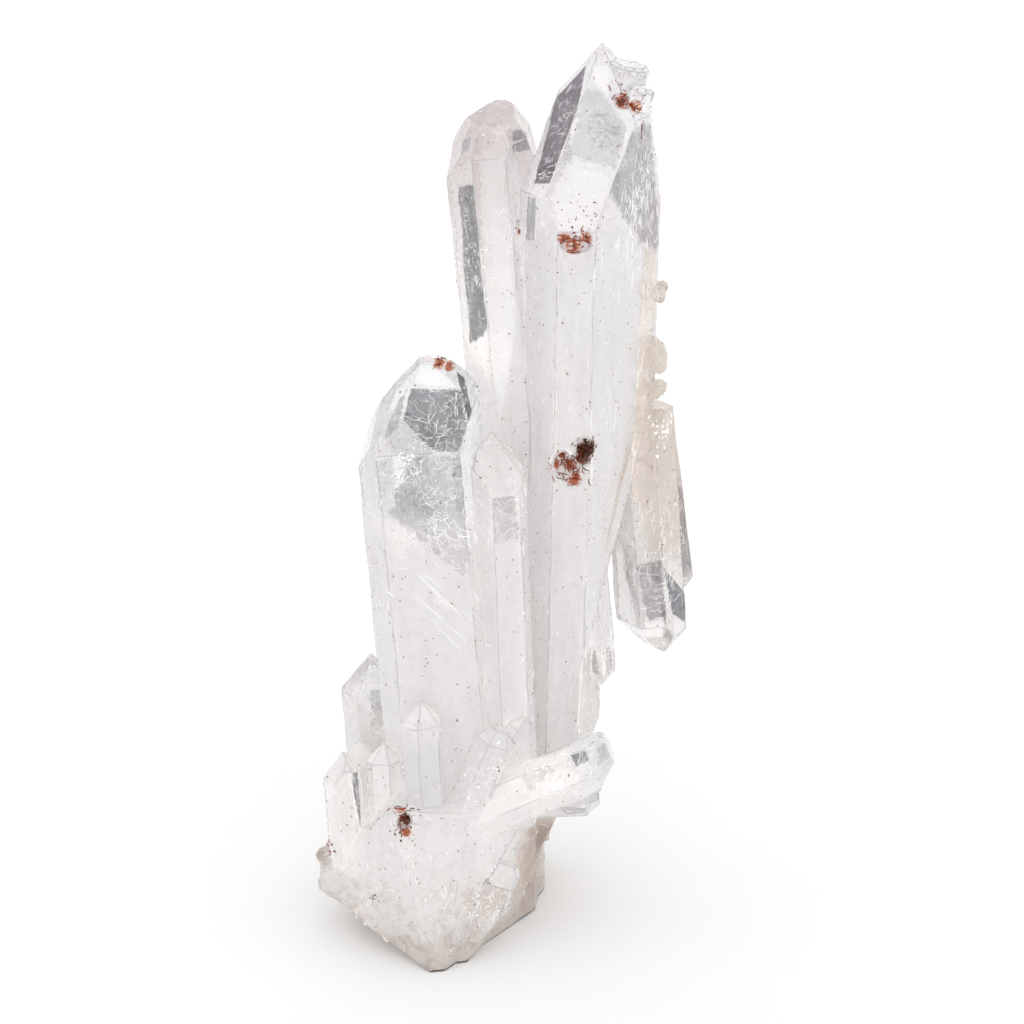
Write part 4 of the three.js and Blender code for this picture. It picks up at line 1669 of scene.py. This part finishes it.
# A place, how far from it, how many, their way if they have one, how far they
# turn from it, and the least and the most length.
NEEDLES = {
    "anywhere": ((10, 20, 60), 200, 1000, None, 0, 0.6, 2.0),
    "broad_cap": ((1.5, 15.0, 90.4), 3.6, 60, None, 0, 0.4, 2.8),
    "broad_cap_right": ((4.6, 14.5, 90.0), 2.6, 24, (0.1, 0, 1), 0.2, 0.8, 3.0),
    "broad_cap_low": ((2.0, 12.0, 84.5), 3.5, 80, None, 0, 0.4, 2.8),
    "broad_veil": ((2.2, 10.8, 75.0), 4.0, 130, None, 0, 0.5, 3.4),
    "broad_veil_low": ((3.0, 10.8, 71.0), 3.0, 50, (0.72, 0, -0.69), 0.3, 1.0, 4.0),
    "broad_knob": ((-3.0, 11.2, 83.0), 2.0, 40, None, 0, 0.4, 1.6),
    "broad_left": ((-4.0, 11.5, 80.0), 3.0, 60, None, 0, 0.4, 2.0),
    "broad_diagonal": ((1.0, 10.8, 60.0), 6.5, 30, (0.72, 0, -0.69), 0.06, 2.0, 7.0),
    "broad_rungs": ((-5.2, 11.2, 60.0), 6.0, 26, (1, 0, 0.06), 0.08, 1.0, 3.2),
    "narrow_window": ((12.0, 11.0, 76.0), 4.0, 60, None, 0, 0.5, 2.8),
    "tall_fibres": ((34.2, 37.4, 122.0), 5.5, 150, (-0.45, 0, 1), 0.6, 0.8, 4.0),
    "tall_fibres_cross": ((33.0, 35.4, 118.0), 5.0, 110, (0.6, 0, 1), 0.6, 0.6, 3.0),
    "tall_fibres_low": ((33.0, 35.0, 110.0), 5.0, 60, (-0.2, 0, 1), 0.5, 0.9, 3.0),
    "tall_upright": ((25.0, 22.5, 88.0), 16.0, 80, (0.02, 0, 1), 0.04, 1.5, 6.0),
    "tall_strip": ((18.5, 28.5, 125.5), 1.6, 24, None, 0, 0.6, 2.4),
    "tall_front": ((25.0, 28.5, 125.5), 4.0, 50, None, 0, 0.4, 1.6),
    "left_strip": ((7.3, 29.5, 112.0), 5.5, 170, None, 0, 0.4, 1.6),
    "left_rungs": ((10.0, 27.0, 92.0), 6.5, 40, (1, 0, 0.1), 0.06, 0.8, 2.4),
    "hanging": ((37.0, 38.5, 62.0), 5.0, 150, (-0.35, 0, 1), 0.6, 0.6, 2.6),
    "hanging_low": ((37.0, 38.5, 54.0), 3.5, 50, (0.2, 0, 1), 0.7, 0.5, 2.4),
    "hanging_tip": ((38.2, 37.0, 50.0), 3.0, 50, (1, 0, 0.15), 0.12, 0.8, 2.6),
    "hanging_right": ((42.4, 45.2, 60.0), 5.0, 60, (-0.6, 0, 1), 0.5, 0.5, 2.0),
    "least": ((28.1, 29.2, 44.5), 2.2, 30, None, 0, 0.5, 1.6),
    "tall_low_right": ((27.5, 27.0, 48.0), 5.5, 110, (-0.1, 0, 1), 0.5, 0.6, 2.6),
    "crossing": ((18.0, 7.2, 31.5), 2.6, 50, None, 0, 0.4, 2.2),
    "crossing_bars": ((24.0, 7.6, 35.3), 1.8, 24, (-0.1, -0.4, 1), 0.1, 0.8, 1.6),
    "front_foot": ((8.9, 4.9, 9.7), 3.2, 60, None, 0, 0.6, 2.6),
    "front_right": ((8.8, 6.5, 31.0), 3.2, 60, None, 0, 0.4, 2.0),
    "back_left": ((-9.0, 23.6, 39.6), 3.5, 60, None, 0, 0.4, 2.0),
    "left_tuft": ((-12.0, 12.4, 26.0), 5.0, 70, (0, 0, 1), 0.5, 0.6, 2.4),
    "foot_lines": ((-1.0, 6.0, 14.0), 8.0, 36, (0.15, 0, 1), 0.7, 0.6, 3.0),
}


def needles(material):
    """Bent fibres in the skin, mostly in the clear places."""
    rng = np.random.default_rng(8)
    parts = []
    for middle, reach, number, way, spread, least, most in NEEDLES.values():
        middles, normals = sown(rng, number, near(middle, reach))
        first, second = tangents(rng, normals, way, spread)
        length = rng.uniform(least, most, number)
        thick = THINNEST + (THICKEST - THINNEST) * rng.uniform(0, 1, number) ** 2
        bend = length * rng.uniform(-1, 1, number) * (COMBED_BEND if way else LOOSE_BEND)
        parts.append(fibres(middles, normals, first, second, length, thick, bend))
    mesh_piece("needles", *joined(parts), material)


needles(white)

# %% [markdown]
# Chips are grains at the skin, most of them tiny: a random number to the third
# power is seldom large.

# %% Chips
LEAST_CHIP = 0.05

# A place, how far from it, how many, and the largest size.
CHIPS = {
    "anywhere": ((10, 20, 60), 200, 900, 0.28),
    "foot": ((0, 8, 12), 9, 320, 0.24),
    "front_foot": ((8.9, 4.9, 9.7), 4, 60, 0.4),
    "hanging_top": ((38.6, 40.9, 79.0), 2.2, 90, 0.55),
    "clay_crust": ((30.5, 31.5, 69.5), 6, 50, 0.3),
    "broad_knob": ((-2.6, 11.3, 83.5), 2.2, 70, 0.35),
    "tall_right_edge": ((36.5, 40, 95), 8, 30, 0.25),
    "front_right": ((8.8, 6.5, 33), 4, 60, 0.4),
    "crossing": ((21, 7.5, 33.5), 3, 30, 0.45),
}


def chips(material):
    """Small bright grains at the skin."""
    rng = np.random.default_rng(9)
    parts = []
    for middle, reach, number, largest in CHIPS.values():
        middles, normals = sown(rng, number, near(middle, reach))
        size = LEAST_CHIP + (largest - LEAST_CHIP) * rng.uniform(0, 1, number) ** 3
        parts.append(grains(rng, middles, normals, size, size * 0.7, size * 0.3))
    mesh_piece("chips", *joined(parts), material)


chips(white)

# %% [markdown]
# The two boxes are kept side by side: what the imported solid measures and
# what the dressed stone measures.

# %% Boxes
sizes = {"cad": cad_box, "visual": [list(corner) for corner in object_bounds()]}
print("visual box in mm:", [[round(x / MM, 2) for x in c] for c in sizes["visual"]])
